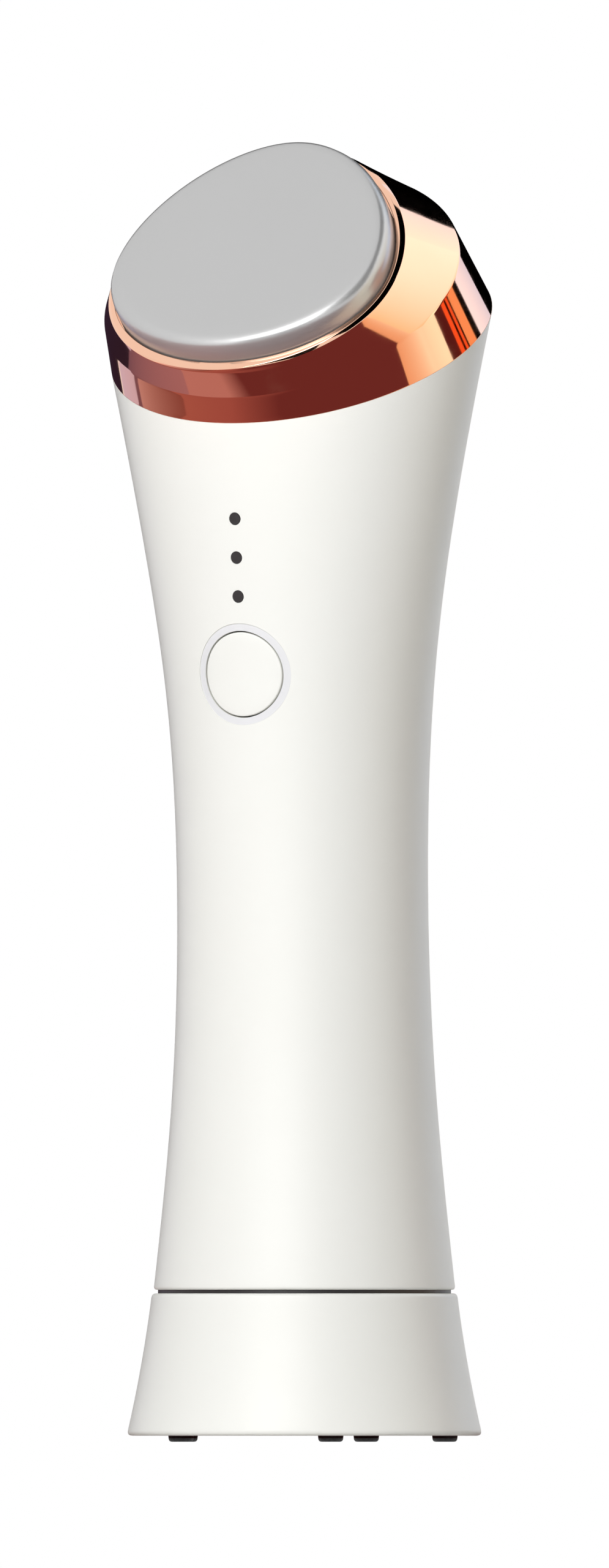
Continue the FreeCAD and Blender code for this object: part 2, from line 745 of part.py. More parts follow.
def make_handle():
    """Hollow one-piece sleeve with the button's dish, lamp holes and bosses for the cap."""
    smooth = round_edges(
        "grip_smooth", outer_form, "shell_edge", lambda edge: lies_at(edge, number(HANDLE_BOTTOM))
    )
    hollow = cut("grip_hollow", smooth, cavity_form)
    boss_low = f"{HANDLE_BOTTOM} + cap_flange"
    bosses = []
    holes = []
    for side in ("-", ""):
        mark = "left" if side else "right"
        size = ("cap_screw_inset * 2 + shell_wall", "cap_boss_width", "cap_boss_height")
        x = f"{side}({CAP_SCREW_X} + shell_wall / 2)"
        bosses.append(block(f"cap_boss_{mark}", size, x, "0", boss_low))
        pilot = "cap_screw_radius + thread_gap"
        x = f"{side}{CAP_SCREW_X}"
        holes.append(rod(f"cap_pilot_{mark}", pilot, "cap_screw_length", x, "0", boss_low))
    pad = rod("button_boss", "button_boss_radius", "button_boss_depth", "0", "0", "0 - button_boss_depth")
    button_pad = on_button_axis(group("button_pad", pad))
    extra = common("grip_extra", fuse("grip_bosses", *bosses, button_pad), outer_form)
    column = rod("dish_column", "dish_radius", "button_boss_depth * 2", "0", "0", "0 - button_boss_depth")
    dish = cut("dish", on_button_axis(group("dish_place", column)), grip_form("dish_floor", "dish_depth"))
    opening_low = "0 - button_boss_depth - shell_wall"
    opening = rod("button_opening", "button_radius + button_gap", "waist_depth", "0", "0", opening_low)
    room_height = "switch_height + button_flange_height"
    room_low = f"0 - button_boss_depth - ({room_height})"
    room_radius = "button_radius + button_flange + slip_gap"
    room = rod("button_room", room_radius, room_height, "0", "0", room_low)
    holes += [dish, on_button_axis(group("button_cuts", opening, room))]
    for index in range(3):
        z = f"{LAMP_LEVEL} + ({index} - 1) * lamp_pitch"
        hole = "lamp_radius + thread_gap"
        holes.append(rod(f"lamp_hole_{index}", hole, "lamp_depth * 2", "0", "0", z, True))
    keep(cut("grip_cut", fuse("grip_whole", hollow, extra), *holes), "handle_shell")


def make_button():
    """Round button with its retaining flange and stem, and the switch that it presses."""
    flange_top = "(0 - button_boss_depth - button_travel)"
    flange_low = f"({flange_top} - button_flange_height)"
    switch_depth = f"({SWITCH_FRONT} - plunger_reach - ({BUTTON_FACE_Y}))"
    stem_end = f"(slip_gap - {switch_depth})"
    flange_radius = "button_radius + button_flange"
    body = turned(
        "button_body",
        [
            ("0", "button_boss_depth"),
            ("button_radius", "button_boss_depth"),
            ("button_radius", flange_top),
            (flange_radius, flange_top),
            (flange_radius, flange_low),
            ("stem_radius", flange_low),
            ("stem_radius", stem_end),
            ("0", stem_end),
        ],
    )
    long_button = on_button_axis(group("button_place", body))
    keep(common("button_trim", long_button, grip_form("button_skin", "button_sink")), "power_button")
    size = ("switch_width", "switch_height", "switch_width")
    low = f"{BUTTON_LEVEL} - switch_width / 2"
    middle = f"{BOARD_FRONT} - switch_height / 2"
    housing = block("switch_block", size, "0", middle, low)
    well_depth = "plunger_depth + button_travel + slip_gap"
    well_start = f"{SWITCH_FRONT} + {well_depth}"
    well_radius = "plunger_radius + slip_gap / 2"
    well = rod("switch_well", well_radius, "switch_height", "0", well_start, BUTTON_LEVEL, True)
    keep(cut("switch_cut", housing, well), "switch_housing")
    start = f"{SWITCH_FRONT} + plunger_depth"
    reach = "plunger_depth + plunger_reach"
    keep(rod("plunger", "plunger_radius", reach, "0", start, BUTTON_LEVEL, True), "switch_plunger")


def make_lamps():
    """Three small lamps on the board and the light pipes that lead them out flush with the skin."""
    leds = []
    pipes = []
    led_front = f"{BOARD_FRONT} - led_height"
    for index in range(3):
        z = f"{LAMP_LEVEL} + ({index} - 1) * lamp_pitch"
        size = ("led_width", "led_height", "led_width")
        middle = f"{BOARD_FRONT} - led_height / 2"
        leds.append(block(f"led_{index}", size, "0", middle, f"{z} - led_width / 2"))
        start = f"{led_front} - slip_gap"
        thin = rod(f"pipe_thin_{index}", "lamp_radius", "lamp_depth * 2", "0", start, z, True)
        shoulder = "lamp_radius + lamp_shoulder"
        thick = rod(f"pipe_thick_{index}", shoulder, "lamp_depth * 2", "0", start, z, True)
        outside = common(f"pipe_outside_{index}", thin, outer_form)
        inside = common(f"pipe_inside_{index}", thick, fitted_form)
        pipes.append(fuse(f"pipe_{index}", outside, inside))
    keep(group("leds", *leds), "indicator_leds")
    keep(group("pipes", *pipes), "light_pipes")


def board_places():
    """Centres of the main board's four screws."""
    x = "(board_width / 2 - board_hole_inset)"
    high = f"{BOARD_TOP} - board_hole_inset"
    low = f"{BOARD_TOP} - board_length + board_hole_inset"
    return [(f"{side}{x}", z) for z in (low, high) for side in ("-", "")]


def make_frame():
    """Inner frame: a foot on the cap, a web that carries the board, cell clips and the motor's seat."""
    foot = rod("frame_foot", "frame_foot_radius", "frame_foot_height", "0", "0", CAP_TOP)
    half_web = f"sqrt({WAIST_INNER} ^ 2 - ({WEB_FRONT} + waist_lean) ^ 2)"
    size = (f"2 * {half_web}", "web_thickness", f"{BOARD_TOP} - {CAP_TOP}")
    web = block("frame_web", size, "0", f"({WEB_BACK} + {WEB_FRONT}) / 2", CAP_TOP)
    pieces = [foot, web]
    clip_lows = (f"{CELL_BOTTOM} + clip_rise", f"{CELL_TOP} - clip_rise - clip_height")
    for index, low in enumerate(clip_lows):
        pieces.append(make_clip(index, low))
    shelf_low = f"({CELL_TOP} + cell_gap)"
    shelf_radius = "(motor_radius + shelf_rim)"
    pieces.append(rod("motor_shelf", shelf_radius, "shelf_height", "0", CELL_Y, shelf_low))
    size = (f"2 * {shelf_radius}", f"{CELL_Y} - {WEB_BACK}", "shelf_height")
    pieces.append(block("shelf_bridge", size, "0", f"({CELL_Y} + {WEB_BACK}) / 2", shelf_low))
    collar_radius = "(motor_radius + slip_gap + collar_wall)"
    collar = rod("collar_out", collar_radius, "collar_height", "0", CELL_Y, MOTOR_BOTTOM)
    pocket = rod("collar_in", "motor_radius + slip_gap", "collar_height", "0", CELL_Y, MOTOR_BOTTOM)
    pieces.append(cut("motor_collar", collar, pocket))
    holes = []
    for index, (x, z) in enumerate(board_places()):
        height = "board_boss_height + web_thickness / 2"
        start = f"{WEB_FRONT} + web_thickness / 2"
        pieces.append(rod(f"board_boss_{index}", "board_boss_radius", height, x, start, z, True))
        pilot = "board_screw_radius + thread_gap"
        holes.append(rod(f"board_pilot_{index}", pilot, "board_screw_length * 3", x, WEB_BACK, z, True))
    for side in ("-", ""):
        mark = "left" if side else "right"
        pilot = "frame_screw_radius + thread_gap"
        y = f"{side}frame_screw_y"
        holes.append(rod(f"foot_pilot_{mark}", pilot, "frame_screw_length", "0", y, CEILING))
    keep(cut("frame_cut", fuse("frame_whole", *pieces), *holes), "inner_frame")


def make_clip(index, low):
    """C-shaped clip that grips the cell from the web's side."""
    inner = "(cell_radius + cell_gap / 2)"
    outer = f"({inner} + clip_wall)"
    ring = rod(f"clip_out_{index}", outer, "clip_height", "0", CELL_Y, low)
    bore = rod(f"clip_in_{index}", inner, "clip_height", "0", CELL_Y, low)
    size = (f"2 * {outer}", outer, "clip_height")
    opening = block(f"clip_open_{index}", size, "0", f"{CELL_Y} + clip_wrap + {outer} / 2", low)
    return cut(f"clip_{index}", ring, bore, opening)


def make_battery():
    keep(rod("cell_can", "cell_radius", "cell_length", "0", CELL_Y, CELL_BOTTOM), "battery_cell")
    low = f"{CELL_BOTTOM} + cell_length"
    keep(rod("cell_nub", "terminal_radius", "terminal_height", "0", CELL_Y, low), "battery_terminal")


def make_board():
    """Main board on its four screws, with the controller and the power coil."""
    size = ("board_width", "board_thickness", "board_length")
    middle = f"({BOARD_BACK} + {BOARD_FRONT}) / 2"
    plate = block("board_plate", size, "0", middle, f"{BOARD_TOP} - board_length")
    holes = []
    screws = []
    for index, (x, z) in enumerate(board_places()):
        hole = "board_screw_radius + thread_gap"
        holes.append(rod(f"board_hole_{index}", hole, "board_thickness", x, BOARD_BACK, z, True))
        head = rod(f"board_head_{index}", "screw_head_radius", "screw_head_height", x, BOARD_FRONT, z, True)
        shank_start = f"{BOARD_FRONT} + board_screw_length"
        length = "board_screw_length"
        shank = rod(f"board_shank_{index}", "board_screw_radius", length, x, shank_start, z, True)
        screws.append(fuse(f"board_screw_{index}", head, shank))
    keep(cut("board_cut", plate, *holes), "main_board")
    keep(group("board_screw_set", *screws), "main_board_screws")
    foot = f"({BUTTON_LEVEL} - switch_width / 2)"
    size = ("chip_width", "chip_height", "chip_width")
    chip_y = f"{BOARD_FRONT} - chip_height / 2"
    chip = block("chip", size, "0", chip_y, f"{foot} - chip_width * 1.5")
    coil_z = f"{foot} - chip_width * 1.5 - coil_radius * 2"
    coil = rod("coil", "coil_radius", "coil_height", "0", BOARD_FRONT, coil_z, True)
    keep(group("components", chip, coil), "board_components")


def make_motor():
    """Vibration motor with its shaft and off-centre weight."""
    keep(rod("motor_can", "motor_radius", "motor_height", "0", CELL_Y, MOTOR_BOTTOM), "vibration_motor")
    keep(rod("shaft", "shaft_radius", "shaft_length", "0", CELL_Y, MOTOR_TOP), "motor_shaft")
    low = f"{MOTOR_TOP} + weight_gap"
    disc = rod("weight_disc", "weight_radius", "weight_height", "0", CELL_Y, low)
    size = ("2 * weight_radius", "weight_radius", "weight_height")
    half = cut("weight_half", disc, block("weight_away", size, "0", f"{CELL_Y} + weight_radius / 2", low))
    hub = rod("weight_hub_rod", "weight_hub", "weight_height", "0", CELL_Y, low)
    hole = rod("weight_hole", "shaft_radius + thread_gap", "weight_height", "0", CELL_Y, low)
    keep(cut("weight_cut", fuse("weight_whole", half, hub), hole), "eccentric_weight")


def plate_prism(name, margin, low, height):
    """Prism on the plate's egg outline, grown by a margin, in the head's own frame."""
    sizes = [f"{size} + ({margin})" for size in ("plate_half_width", "plate_front", "plate_back")]
    return prism(name, egg(name + "_outline", *sizes, "0", low), height)


def lip_outline(name, inset, drop):
    """Outline of the ring's lip, drawn in by an inset and dropped below the lip's plane."""
    half_width = f"plate_half_width + lip_width - ({inset})"
    front = f"plate_front + lip_front_width - ({inset})"
    back = f"plate_back + lip_back_width - ({inset})"
    y = f"{HEAD_Y} + ({drop}) * sin(lip_tilt)"
    z = f"{HEAD_LEVEL} - ({drop}) * cos(lip_tilt)"
    return egg(name, half_width, front, back, y, z, "lip_tilt")


def ring_outlines(name, joint_inset, inset):
    """Outlines of the head ring at the handle and at the crease between its two bands."""
    depth = f"joint_depth - ({joint_inset})"
    joint = oval(name + "_joint", f"{depth} + joint_oval", depth, depth, JOINT_Y, JOINT_LEVEL, "joint_tilt")
    depth = f"crease_depth - ({inset})"
    width = f"{depth} + crease_oval"
    crease = oval(name + "_crease", width, depth, depth, CREASE_Y, CREASE_LEVEL, "crease_tilt")
    return [joint, crease]


def make_head_ring():
    """Two ruled bands from the handle to a crease and on to the lip, with a ledge for the plate inside."""
    outside = ring_outlines("ring_out", "0", "0")
    outside.append(lip_outline("ring_out_lip", "0", "lip_edge"))
    outside.append(lip_outline("ring_out_top", "lip_edge", "0"))
    skirt_inset = "shell_wall + slip_gap + skirt_wall"
    inside = ring_outlines("ring_in", skirt_inset, "ring_wall")
    inside.append(lip_outline("ring_in_lip", "ring_wall", "0"))
    span = "6 * plate_half_width"
    room = block("below_block", (span, span, span), "0", "0", f"{LEDGE_LOW} - {span}")
    below = on_head(group("below_ledge", room))
    hollow = common("ring_hollow", loft("ring_inside", inside, ruled=True), below)
    recess = plate_prism("ring_recess", "slip_gap", LEDGE_TOP, "plate_proud + 4 * plate_sunk")
    opening_low = f"{LEDGE_LOW} - ledge_height"
    opening = plate_prism("ring_opening", "0 - ledge_width", opening_low, "4 * ledge_height")
    shell = cut("ring_shell", loft("ring_outside", outside, ruled=True), hollow)
    sleeve = cut("skirt_sleeve", fitted_form, skirt_core)
    band_size = ("4 * joint_depth", "4 * joint_depth", "2 * skirt_height")
    band = group("skirt_band", block("band_block", band_size, "0", "0", "0 - skirt_height"))
    put(band, "0", JOINT_Y, JOINT_LEVEL, AXIS_X, "joint_tilt")
    skirt = common("ring_skirt", sleeve, band)
    bosses = []
    pilots = []
    for side in ("-", ""):
        mark = "left" if side else "right"
        x = f"{side}{SINK_SCREW_X}"
        height = f"{LEDGE_TOP} - {HOT_LOW}"
        bosses.append(rod(f"sink_boss_{mark}", "sink_boss_radius", height, x, PLATE_MIDDLE, HOT_LOW))
        pilot = "sink_screw_radius + thread_gap"
        pilots.append(rod(f"sink_pilot_{mark}", pilot, "sink_screw_length", x, PLATE_MIDDLE, SINK_LOW))
    boss_pair = on_head(group("sink_bosses", *bosses))
    whole = fuse("ring_whole", shell, skirt, boss_pair)
    away = on_head(group("ring_cuts", recess, opening, *pilots))
    keep(cut("ring_cut", whole, away), "head_ring")


def make_plate():
    """Egg-shaped metal plate with a rounded rim, and the gasket under it."""
    slab = plate_prism("plate_slab", "0", "0 - plate_sunk", "plate_sunk + plate_proud")
    face = number("plate_proud")
    smooth = round_edges("plate_smooth", slab, "plate_round", lambda edge: lies_at(edge, face))
    keep(on_head(smooth), "massage_plate")
    outside = plate_prism("gasket_out", "0", LEDGE_TOP, "gasket_height")
    inside = plate_prism("gasket_in", "0 - ledge_width", LEDGE_TOP, "gasket_height")
    keep(on_head(cut("gasket_ring", outside, inside)), "plate_gasket")


def make_heat_pump():
    """Thermoelectric module, finned heat sink and temperature sensor on the back of the plate."""
    size = ("peltier_width", "peltier_width", "ceramic_height")
    cold = block("cold_tile", size, "0", PLATE_MIDDLE, COLD_LOW)
    keep(on_head(group("cold_side", cold)), "peltier_cold_plate")
    hot = block("hot_tile", size, "0", PLATE_MIDDLE, HOT_LOW)
    keep(on_head(group("hot_side", hot)), "peltier_hot_plate")
    pellets = []
    count = 6
    pitch = f"peltier_width / {count}"
    size = ("pellet_width", "pellet_width", "pellet_height")
    for row in range(count):
        for column in range(count):
            x = f"({column} - {(count - 1) / 2}) * {pitch}"
            y = f"{PLATE_MIDDLE} + ({row} - {(count - 1) / 2}) * {pitch}"
            pellets.append(block(f"pellet_{row}_{column}", size, x, y, PELLET_LOW))
    keep(on_head(group("pellet_set", *pellets)), "peltier_pellets")
    size = ("sensor_width", "sensor_length", "sensor_height")
    y = f"{PLATE_MIDDLE} + peltier_width / 2 + sensor_length"
    sensor = block("sensor_bead", size, "0", y, "0 - plate_sunk - sensor_height")
    keep(on_head(group("sensor", sensor)), "temperature_sensor")
    make_heat_sink()


def make_heat_sink():
    size = ("sink_width", "sink_width", "sink_base_height")
    pieces = [block("sink_base", size, "0", PLATE_MIDDLE, SINK_LOW)]
    size = (f"2 * ({SINK_SCREW_X} + sink_boss_radius)", "sink_ear_width", "sink_base_height")
    pieces.append(block("sink_ears", size, "0", PLATE_MIDDLE, SINK_LOW))
    count = 7
    pitch = f"(sink_width - fin_thickness) / {count - 1}"
    size = ("fin_thickness", "sink_width", "fin_depth")
    for index in range(count):
        x = f"({index} - {(count - 1) / 2}) * {pitch}"
        pieces.append(block(f"fin_{index}", size, x, PLATE_MIDDLE, f"{SINK_LOW} - fin_depth"))
    holes = []
    screws = []
    for side in ("-", ""):
        mark = "left" if side else "right"
        x = f"{side}{SINK_SCREW_X}"
        hole = "sink_screw_radius + thread_gap"
        holes.append(rod(f"sink_hole_{mark}", hole, "sink_base_height", x, PLATE_MIDDLE, SINK_LOW))
        length = "sink_screw_length"
        screws.append(screw(f"sink_screw_{mark}", "sink_screw_radius", length, x, PLATE_MIDDLE, SINK_LOW))
    keep(on_head(cut("sink_cut", fuse("sink_whole", *pieces), *holes)), "heat_sink")
    keep(on_head(group("sink_screws", *screws)), "heat_sink_screws")


make_stand()
make_stand_base()
make_charging_parts()
make_bottom_cap()
make_handle()
make_button()
make_lamps()
make_frame()
make_battery()
make_board()
make_motor()
make_head_ring()
make_plate()
make_heat_pump()
doc.recompute()

failed = [thing.Label for thing in doc.Objects if {"Invalid", "Error"} & set(thing.State)]
failed += [node.Label for node in NODES if node.Shape.isNull() or not node.Shape.isValid()]
if failed:
    raise RuntimeError(f"these objects failed: {failed}")

os.makedirs("parts", exist_ok=True)
for node in NODES:
    node.Shape.exportStep(f"parts/{node.Label}.step")
    print(node.Label, len(node.Shape.Solids), round(node.Shape.Volume, 2))
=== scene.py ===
# %% [markdown]
# # A hot and cold face massager on its charging stand
#
# The real object is a waisted white hand grip. A rose-gold ring at its head carries a smooth metal plate
# that warms or cools the skin, and a round white stand charges it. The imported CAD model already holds
# every piece at its real size, so this lesson only dresses it: it models the outer shells again as clean,
# finely divided meshes, gives each piece its finish, and lights it as in a studio.

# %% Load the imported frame
import json
import math

import bmesh
import bpy
import numpy as np
from mathutils import Matrix, Vector
from mathutils.bvhtree import BVHTree


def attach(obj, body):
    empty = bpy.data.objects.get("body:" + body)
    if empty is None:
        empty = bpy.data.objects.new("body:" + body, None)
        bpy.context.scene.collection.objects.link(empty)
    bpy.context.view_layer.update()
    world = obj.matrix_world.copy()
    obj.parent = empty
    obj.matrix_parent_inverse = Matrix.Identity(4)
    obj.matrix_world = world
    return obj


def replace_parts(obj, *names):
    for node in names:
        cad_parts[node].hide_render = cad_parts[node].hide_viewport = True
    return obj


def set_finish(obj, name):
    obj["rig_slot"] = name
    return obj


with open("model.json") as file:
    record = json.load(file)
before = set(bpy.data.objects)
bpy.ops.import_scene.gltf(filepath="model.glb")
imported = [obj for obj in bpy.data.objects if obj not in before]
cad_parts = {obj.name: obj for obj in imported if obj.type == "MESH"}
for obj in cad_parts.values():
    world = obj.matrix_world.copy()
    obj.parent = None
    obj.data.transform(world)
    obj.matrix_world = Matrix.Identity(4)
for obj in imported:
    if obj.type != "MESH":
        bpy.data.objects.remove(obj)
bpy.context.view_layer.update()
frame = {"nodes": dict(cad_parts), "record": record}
MM = 0.001

# %% [markdown]
# ## Drawing a skin loop by loop
#
# Almost every shell of this object is a stack of ovals: the stand is round, the grip grows oval towards
# the head, and the ring and the plate are egg-shaped and tilted. A subdivision cage would only come near
# those ovals. Here one circle of edges is extruded again and again instead, and each new loop is settled
# on the next outline, so the skin is all even quads and keeps the exact section at every height.

# %% Outlines and loops
MERGE_DISTANCE = 0.002


def oval(plane, half_width, front, back, lift=0.0):
    """Egg outline on a plane: half an ellipse towards the front and half towards the back."""

    def place(clock):
        reach = back if math.sin(clock) > 0 else front
        flat = Vector((half_width * math.cos(clock), reach * math.sin(clock), lift))
        return plane @ (flat * MM)

    return place


def slope(y, z, tilt):
    """Plane across the object, its back edge raised by a tilt in degrees."""
    return Matrix.Translation((0, y * MM, z * MM)) @ Matrix.Rotation(math.radians(tilt), 4, "X")


def round_loop(plane, radius, lift):
    """Circle about a plane's own axis, at a lift above it."""
    return oval(plane, radius, radius, radius, lift)


def between(first, second, share):
    """Loop part of the way from one loop to another."""
    return lambda clock: first(clock).lerp(second(clock), share)


def settle(skin, loop):
    """Moves the selected edge loop on to an outline, each point at its own clock angle."""
    points = bmesh.from_edit_mesh(skin)
    clock = points.verts.layers.float["clock"]
    for point in points.verts:
        if point.select:
            point.co = loop(point[clock])
    bmesh.update_edit_mesh(skin)


def draw_skin(name, loops, segments):
    """Extrudes one circle of edges through the loops and closes what is left open with flat faces."""
    bpy.ops.object.select_all(action="DESELECT")
    bpy.ops.mesh.primitive_circle_add(vertices=segments, radius=MM)
    piece = bpy.context.object
    piece.name = name
    piece.data.name = name
    bpy.ops.object.mode_set(mode="EDIT")
    bpy.ops.mesh.select_all(action="SELECT")
    points = bmesh.from_edit_mesh(piece.data)
    clock = points.verts.layers.float.new("clock")
    for point in points.verts:
        point[clock] = math.atan2(point.co.y, point.co.x)
    settle(piece.data, loops[0])
    for loop in loops[1:]:
        bpy.ops.mesh.extrude_region_move()
        settle(piece.data, loop)
    bpy.ops.mesh.select_all(action="SELECT")
    bpy.ops.mesh.remove_doubles(threshold=MERGE_DISTANCE * MM)
    bpy.ops.mesh.fill_holes(sides=0)
    bpy.ops.mesh.normals_make_consistent(inside=False)
    bpy.ops.object.mode_set(mode="OBJECT")
    print(name, "drawn with", len(loops), "loops and", len(piece.data.polygons), "faces")
    return piece


# %% [markdown]
# ## Rounded corners
#
# A moulded edge is never knife-sharp: its small round catches a line of light, and that line is what
# makes the edge look real. A Bevel modifier would round every edge alike. Here a profile says for each
# corner how far the round reaches along both sides, and the corner becomes a few close loops along that
# curve.

# %% Corners taken round
ROUND_STEPS = 4


def eased(before, corner, after, reach):
    """Loops that take a corner along a small curve, which starts and ends a reach away from it."""

    def at(share):
        def place(clock):
            middle = corner(clock)
            start = middle + reach * MM * (before(clock) - middle).normalized()
            end = middle + reach * MM * (after(clock) - middle).normalized()
            return start.lerp(middle, share).lerp(middle.lerp(end, share), share)

        return place

    return [at(step / ROUND_STEPS) for step in range(ROUND_STEPS + 1)]


def profile(*stations):
    """Loops along a profile of (loop, reach of its round) pairs; a reach of 0 leaves the corner sharp."""
    loops = []
    for index, (loop, reach) in enumerate(stations):
        if reach:
            loops += eased(stations[index - 1][0], loop, stations[index + 1][0], reach)
        else:
            loops.append(loop)
    return loops


# %% [markdown]
# ## Work on whole pieces
#
# A few moves come back for most shells: smooth shading that keeps the sharp edges, copies that stand side
# by side and are joined, and openings that are cut with a Boolean modifier.

# %% Work on whole pieces
SHARP_ANGLE = 40
LARGE_FACE_WEIGHT = 100


def pick(*pieces):
    """Selects these pieces alone and makes the first one active."""
    bpy.ops.object.select_all(action="DESELECT")
    for piece in pieces:
        piece.select_set(True)
    bpy.context.view_layer.objects.active = pieces[0]


def polish(piece):
    """Smooth shading that stops at sharp edges and lets the large faces set the normals."""
    pick(piece)
    bpy.ops.object.shade_smooth_by_angle(angle=math.radians(SHARP_ANGLE))
    weighing = piece.modifiers.new("even shine", "WEIGHTED_NORMAL")
    weighing.keep_sharp = True
    weighing.weight = LARGE_FACE_WEIGHT
    bpy.ops.object.modifier_apply(modifier=weighing.name)


def copies(piece, moves):
    """Copies of a piece, each with a mesh of its own, moved by distances in millimetres."""
    for move in moves:
        pick(piece)
        bpy.ops.object.duplicate()
        bpy.ops.transform.translate(value=Vector(move) * MM)
        yield bpy.context.object


def joined(pieces):
    """One piece made of several, with their places in its mesh."""
    pick(*pieces)
    bpy.ops.object.join()
    bpy.ops.object.transform_apply()
    print(len(pieces), "of", pieces[0].name, "side by side")
    return pieces[0]


def carve(piece, cutter):
    """Takes a cutter's shape out of a piece and throws the cutter away."""
    pick(piece)
    cutting = piece.modifiers.new("opening", "BOOLEAN")
    cutting.operation = "DIFFERENCE"
    cutting.solver = "EXACT"
    cutting.object = cutter
    bpy.ops.object.modifier_apply(modifier=cutting.name)
    bpy.data.objects.remove(cutter)


# %% [markdown]
# ## The hand grip
#
# The grip is one moulded sleeve with no parting line. Its foot is round, its waist takes the fingers, and
# its top opens out into a tilted oval that carries the ring. Six outlines fix that shape. A natural
# spline runs through them at every clock angle, as a flexible batten would on a drawing board, and rows
# of loops follow it.

# %% Outlines of the grip
# height, half depth, how much wider than deep, lean to the front, tilt
GRIP_OUTLINES = (
    (21.1, 20.95, 0.0, 0.0, 0.0),
    (44.6, 18.62, 0.0, 0.05, 0.0),
    (75.1, 17.4, 0.05, 0.56, 0.0),
    (106.5, 17.8, 1.3, 1.55, 0.0),
    (122.7, 18.6, 2.95, 2.25, 0.0),
    (153.2, 24.5, 3.1, 0.8, 29.0),
)
GRIP_LEVELS = np.array([outline[0] for outline in GRIP_OUTLINES])
WALL = 2.0


def batten(levels):
    """Bends of a natural spline at each level, for a unit step at each level in turn."""
    gaps = np.diff(levels)
    pull = np.eye(len(levels))
    load = np.zeros_like(pull)
    for index in range(1, len(levels) - 1):
        low, high = gaps[index - 1], gaps[index]
        pull[index, index - 1 : index + 2] = low / 6, (low + high) / 3, high / 6
        load[index, index - 1 : index + 2] = 1 / low, -1 / low - 1 / high, 1 / high
    return np.linalg.solve(pull, load)


GRIP_BENDS = batten(GRIP_LEVELS)


def grip_shares(height):
    """How much of each outline the spline takes at a height."""
    upper = int(np.clip(np.searchsorted(GRIP_LEVELS, height), 1, len(GRIP_LEVELS) - 1))
    lower = upper - 1
    gap = GRIP_LEVELS[upper] - GRIP_LEVELS[lower]
    rise = (height - GRIP_LEVELS[lower]) / gap
    fall = 1 - rise
    shares = (fall**3 - fall) * GRIP_BENDS[lower] + (rise**3 - rise) * GRIP_BENDS[upper]
    shares *= gap**2 / 6
    shares[lower] += fall
    shares[upper] += rise
    return shares.tolist()


def grip_loop(height, inset=0.0):
    """Loop of the grip's skin at a height, drawn in by an inset."""
    shares = grip_shares(height)
    outlines = []
    for level, depth, wider, lean, tilt in GRIP_OUTLINES:
        plane = slope(-lean, level, tilt)
        outlines.append(oval(plane, depth - inset + wider, depth - inset, depth - inset))

    def place(clock):
        point = Vector()
        for share, outline in zip(shares, outlines):
            point += share * outline(clock)
        return point

    return place


# %% Draw the grip as a sleeve
GRIP_SEGMENTS = 192
ROW_HEIGHT = 1.5
INNER_STRIDE = 4
FOOT_ROUND = 0.5

bottom, top = GRIP_LEVELS[0], GRIP_LEVELS[-1]
rows = round((top - bottom) / ROW_HEIGHT)
outer_heights = [bottom + (top - bottom) * row / rows for row in range(1, rows + 1)]
inner_heights = outer_heights[::-INNER_STRIDE] + [bottom]
grip_profile = [(grip_loop(bottom, WALL), 0), (grip_loop(bottom), FOOT_ROUND)]
grip_profile += [(grip_loop(height), 0) for height in outer_heights]
grip_profile += [(grip_loop(height, WALL), 0) for height in inner_heights]
hand_grip = draw_skin("hand_grip", profile(*grip_profile), GRIP_SEGMENTS)

# %% [markdown]
# ## The button's dish and the lamp holes
#
# The button lies almost flush in the front of the grip, in a narrow dish that is sunk by a hair, so that
# fine lines show where they part. Both follow the curved skin: rays cast along the button's axis find it
# at each point. Three pin-sized lamp holes stand in a line above. All are drilled as a toolmaker would,
# with a stepped cutter on the button's axis and a plain drill that is copied twice.

# %% Find the skin about the button's axis
BUTTON_AXIS = slope(-19.35, 106.5, 93.4)
BUTTON_RADIUS = 5.85
BUTTON_GAP = 0.2
BUTTON_SINK = 0.1
DISH_RADIUS = 7.1
DISH_DEPTH = 0.15
CAST_LIFT = 5

grip_skin = BVHTree.FromObject(hand_grip, bpy.context.evaluated_depsgraph_get())
inwards = BUTTON_AXIS.to_3x3() @ Vector((0, 0, -1))


def skin_loop(radius, sink):
    """Circle about the button's axis that follows the grip's skin, sunk below it."""
    above = round_loop(BUTTON_AXIS, radius, CAST_LIFT)
    return lambda clock: grip_skin.ray_cast(above(clock), inwards)[0] + sink * MM * inwards


dish_edge = skin_loop(DISH_RADIUS, 0)
drop = (dish_edge(0) - dish_edge(math.pi / 2)).dot(inwards)
print("the skin falls", round(drop / MM, 2), "mm from the top of the dish to its side")

# %% Drill the grip
LAMP_LEVEL = 122.7
LAMP_PITCH = 5.4
LAMP_HOLE_RADIUS = 0.89
LAMP_DRILL_ENDS = (14, 30)
LAMP_SEGMENTS = 32
BUTTON_SEGMENTS = 128
HOLE_LIFT = -9

hole_radius = BUTTON_RADIUS + BUTTON_GAP
dish_cutter = draw_skin(
    "dish_cutter",
    [
        round_loop(BUTTON_AXIS, DISH_RADIUS, CAST_LIFT),
        skin_loop(DISH_RADIUS, DISH_DEPTH),
        skin_loop(hole_radius, DISH_DEPTH),
        round_loop(BUTTON_AXIS, hole_radius, HOLE_LIFT),
    ],
    BUTTON_SEGMENTS,
)
carve(hand_grip, dish_cutter)
drill_line = slope(0, LAMP_LEVEL, 90)
drill_loops = [round_loop(drill_line, LAMP_HOLE_RADIUS, lift) for lift in LAMP_DRILL_ENDS]
drill = draw_skin("lamp_drill", drill_loops, LAMP_SEGMENTS)
carve(hand_grip, joined([drill, *copies(drill, [(0, 0, LAMP_PITCH), (0, 0, -LAMP_PITCH)])]))
polish(hand_grip)
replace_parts(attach(hand_grip, "massager"), "handle_shell")
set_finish(hand_grip, "white_plastic")

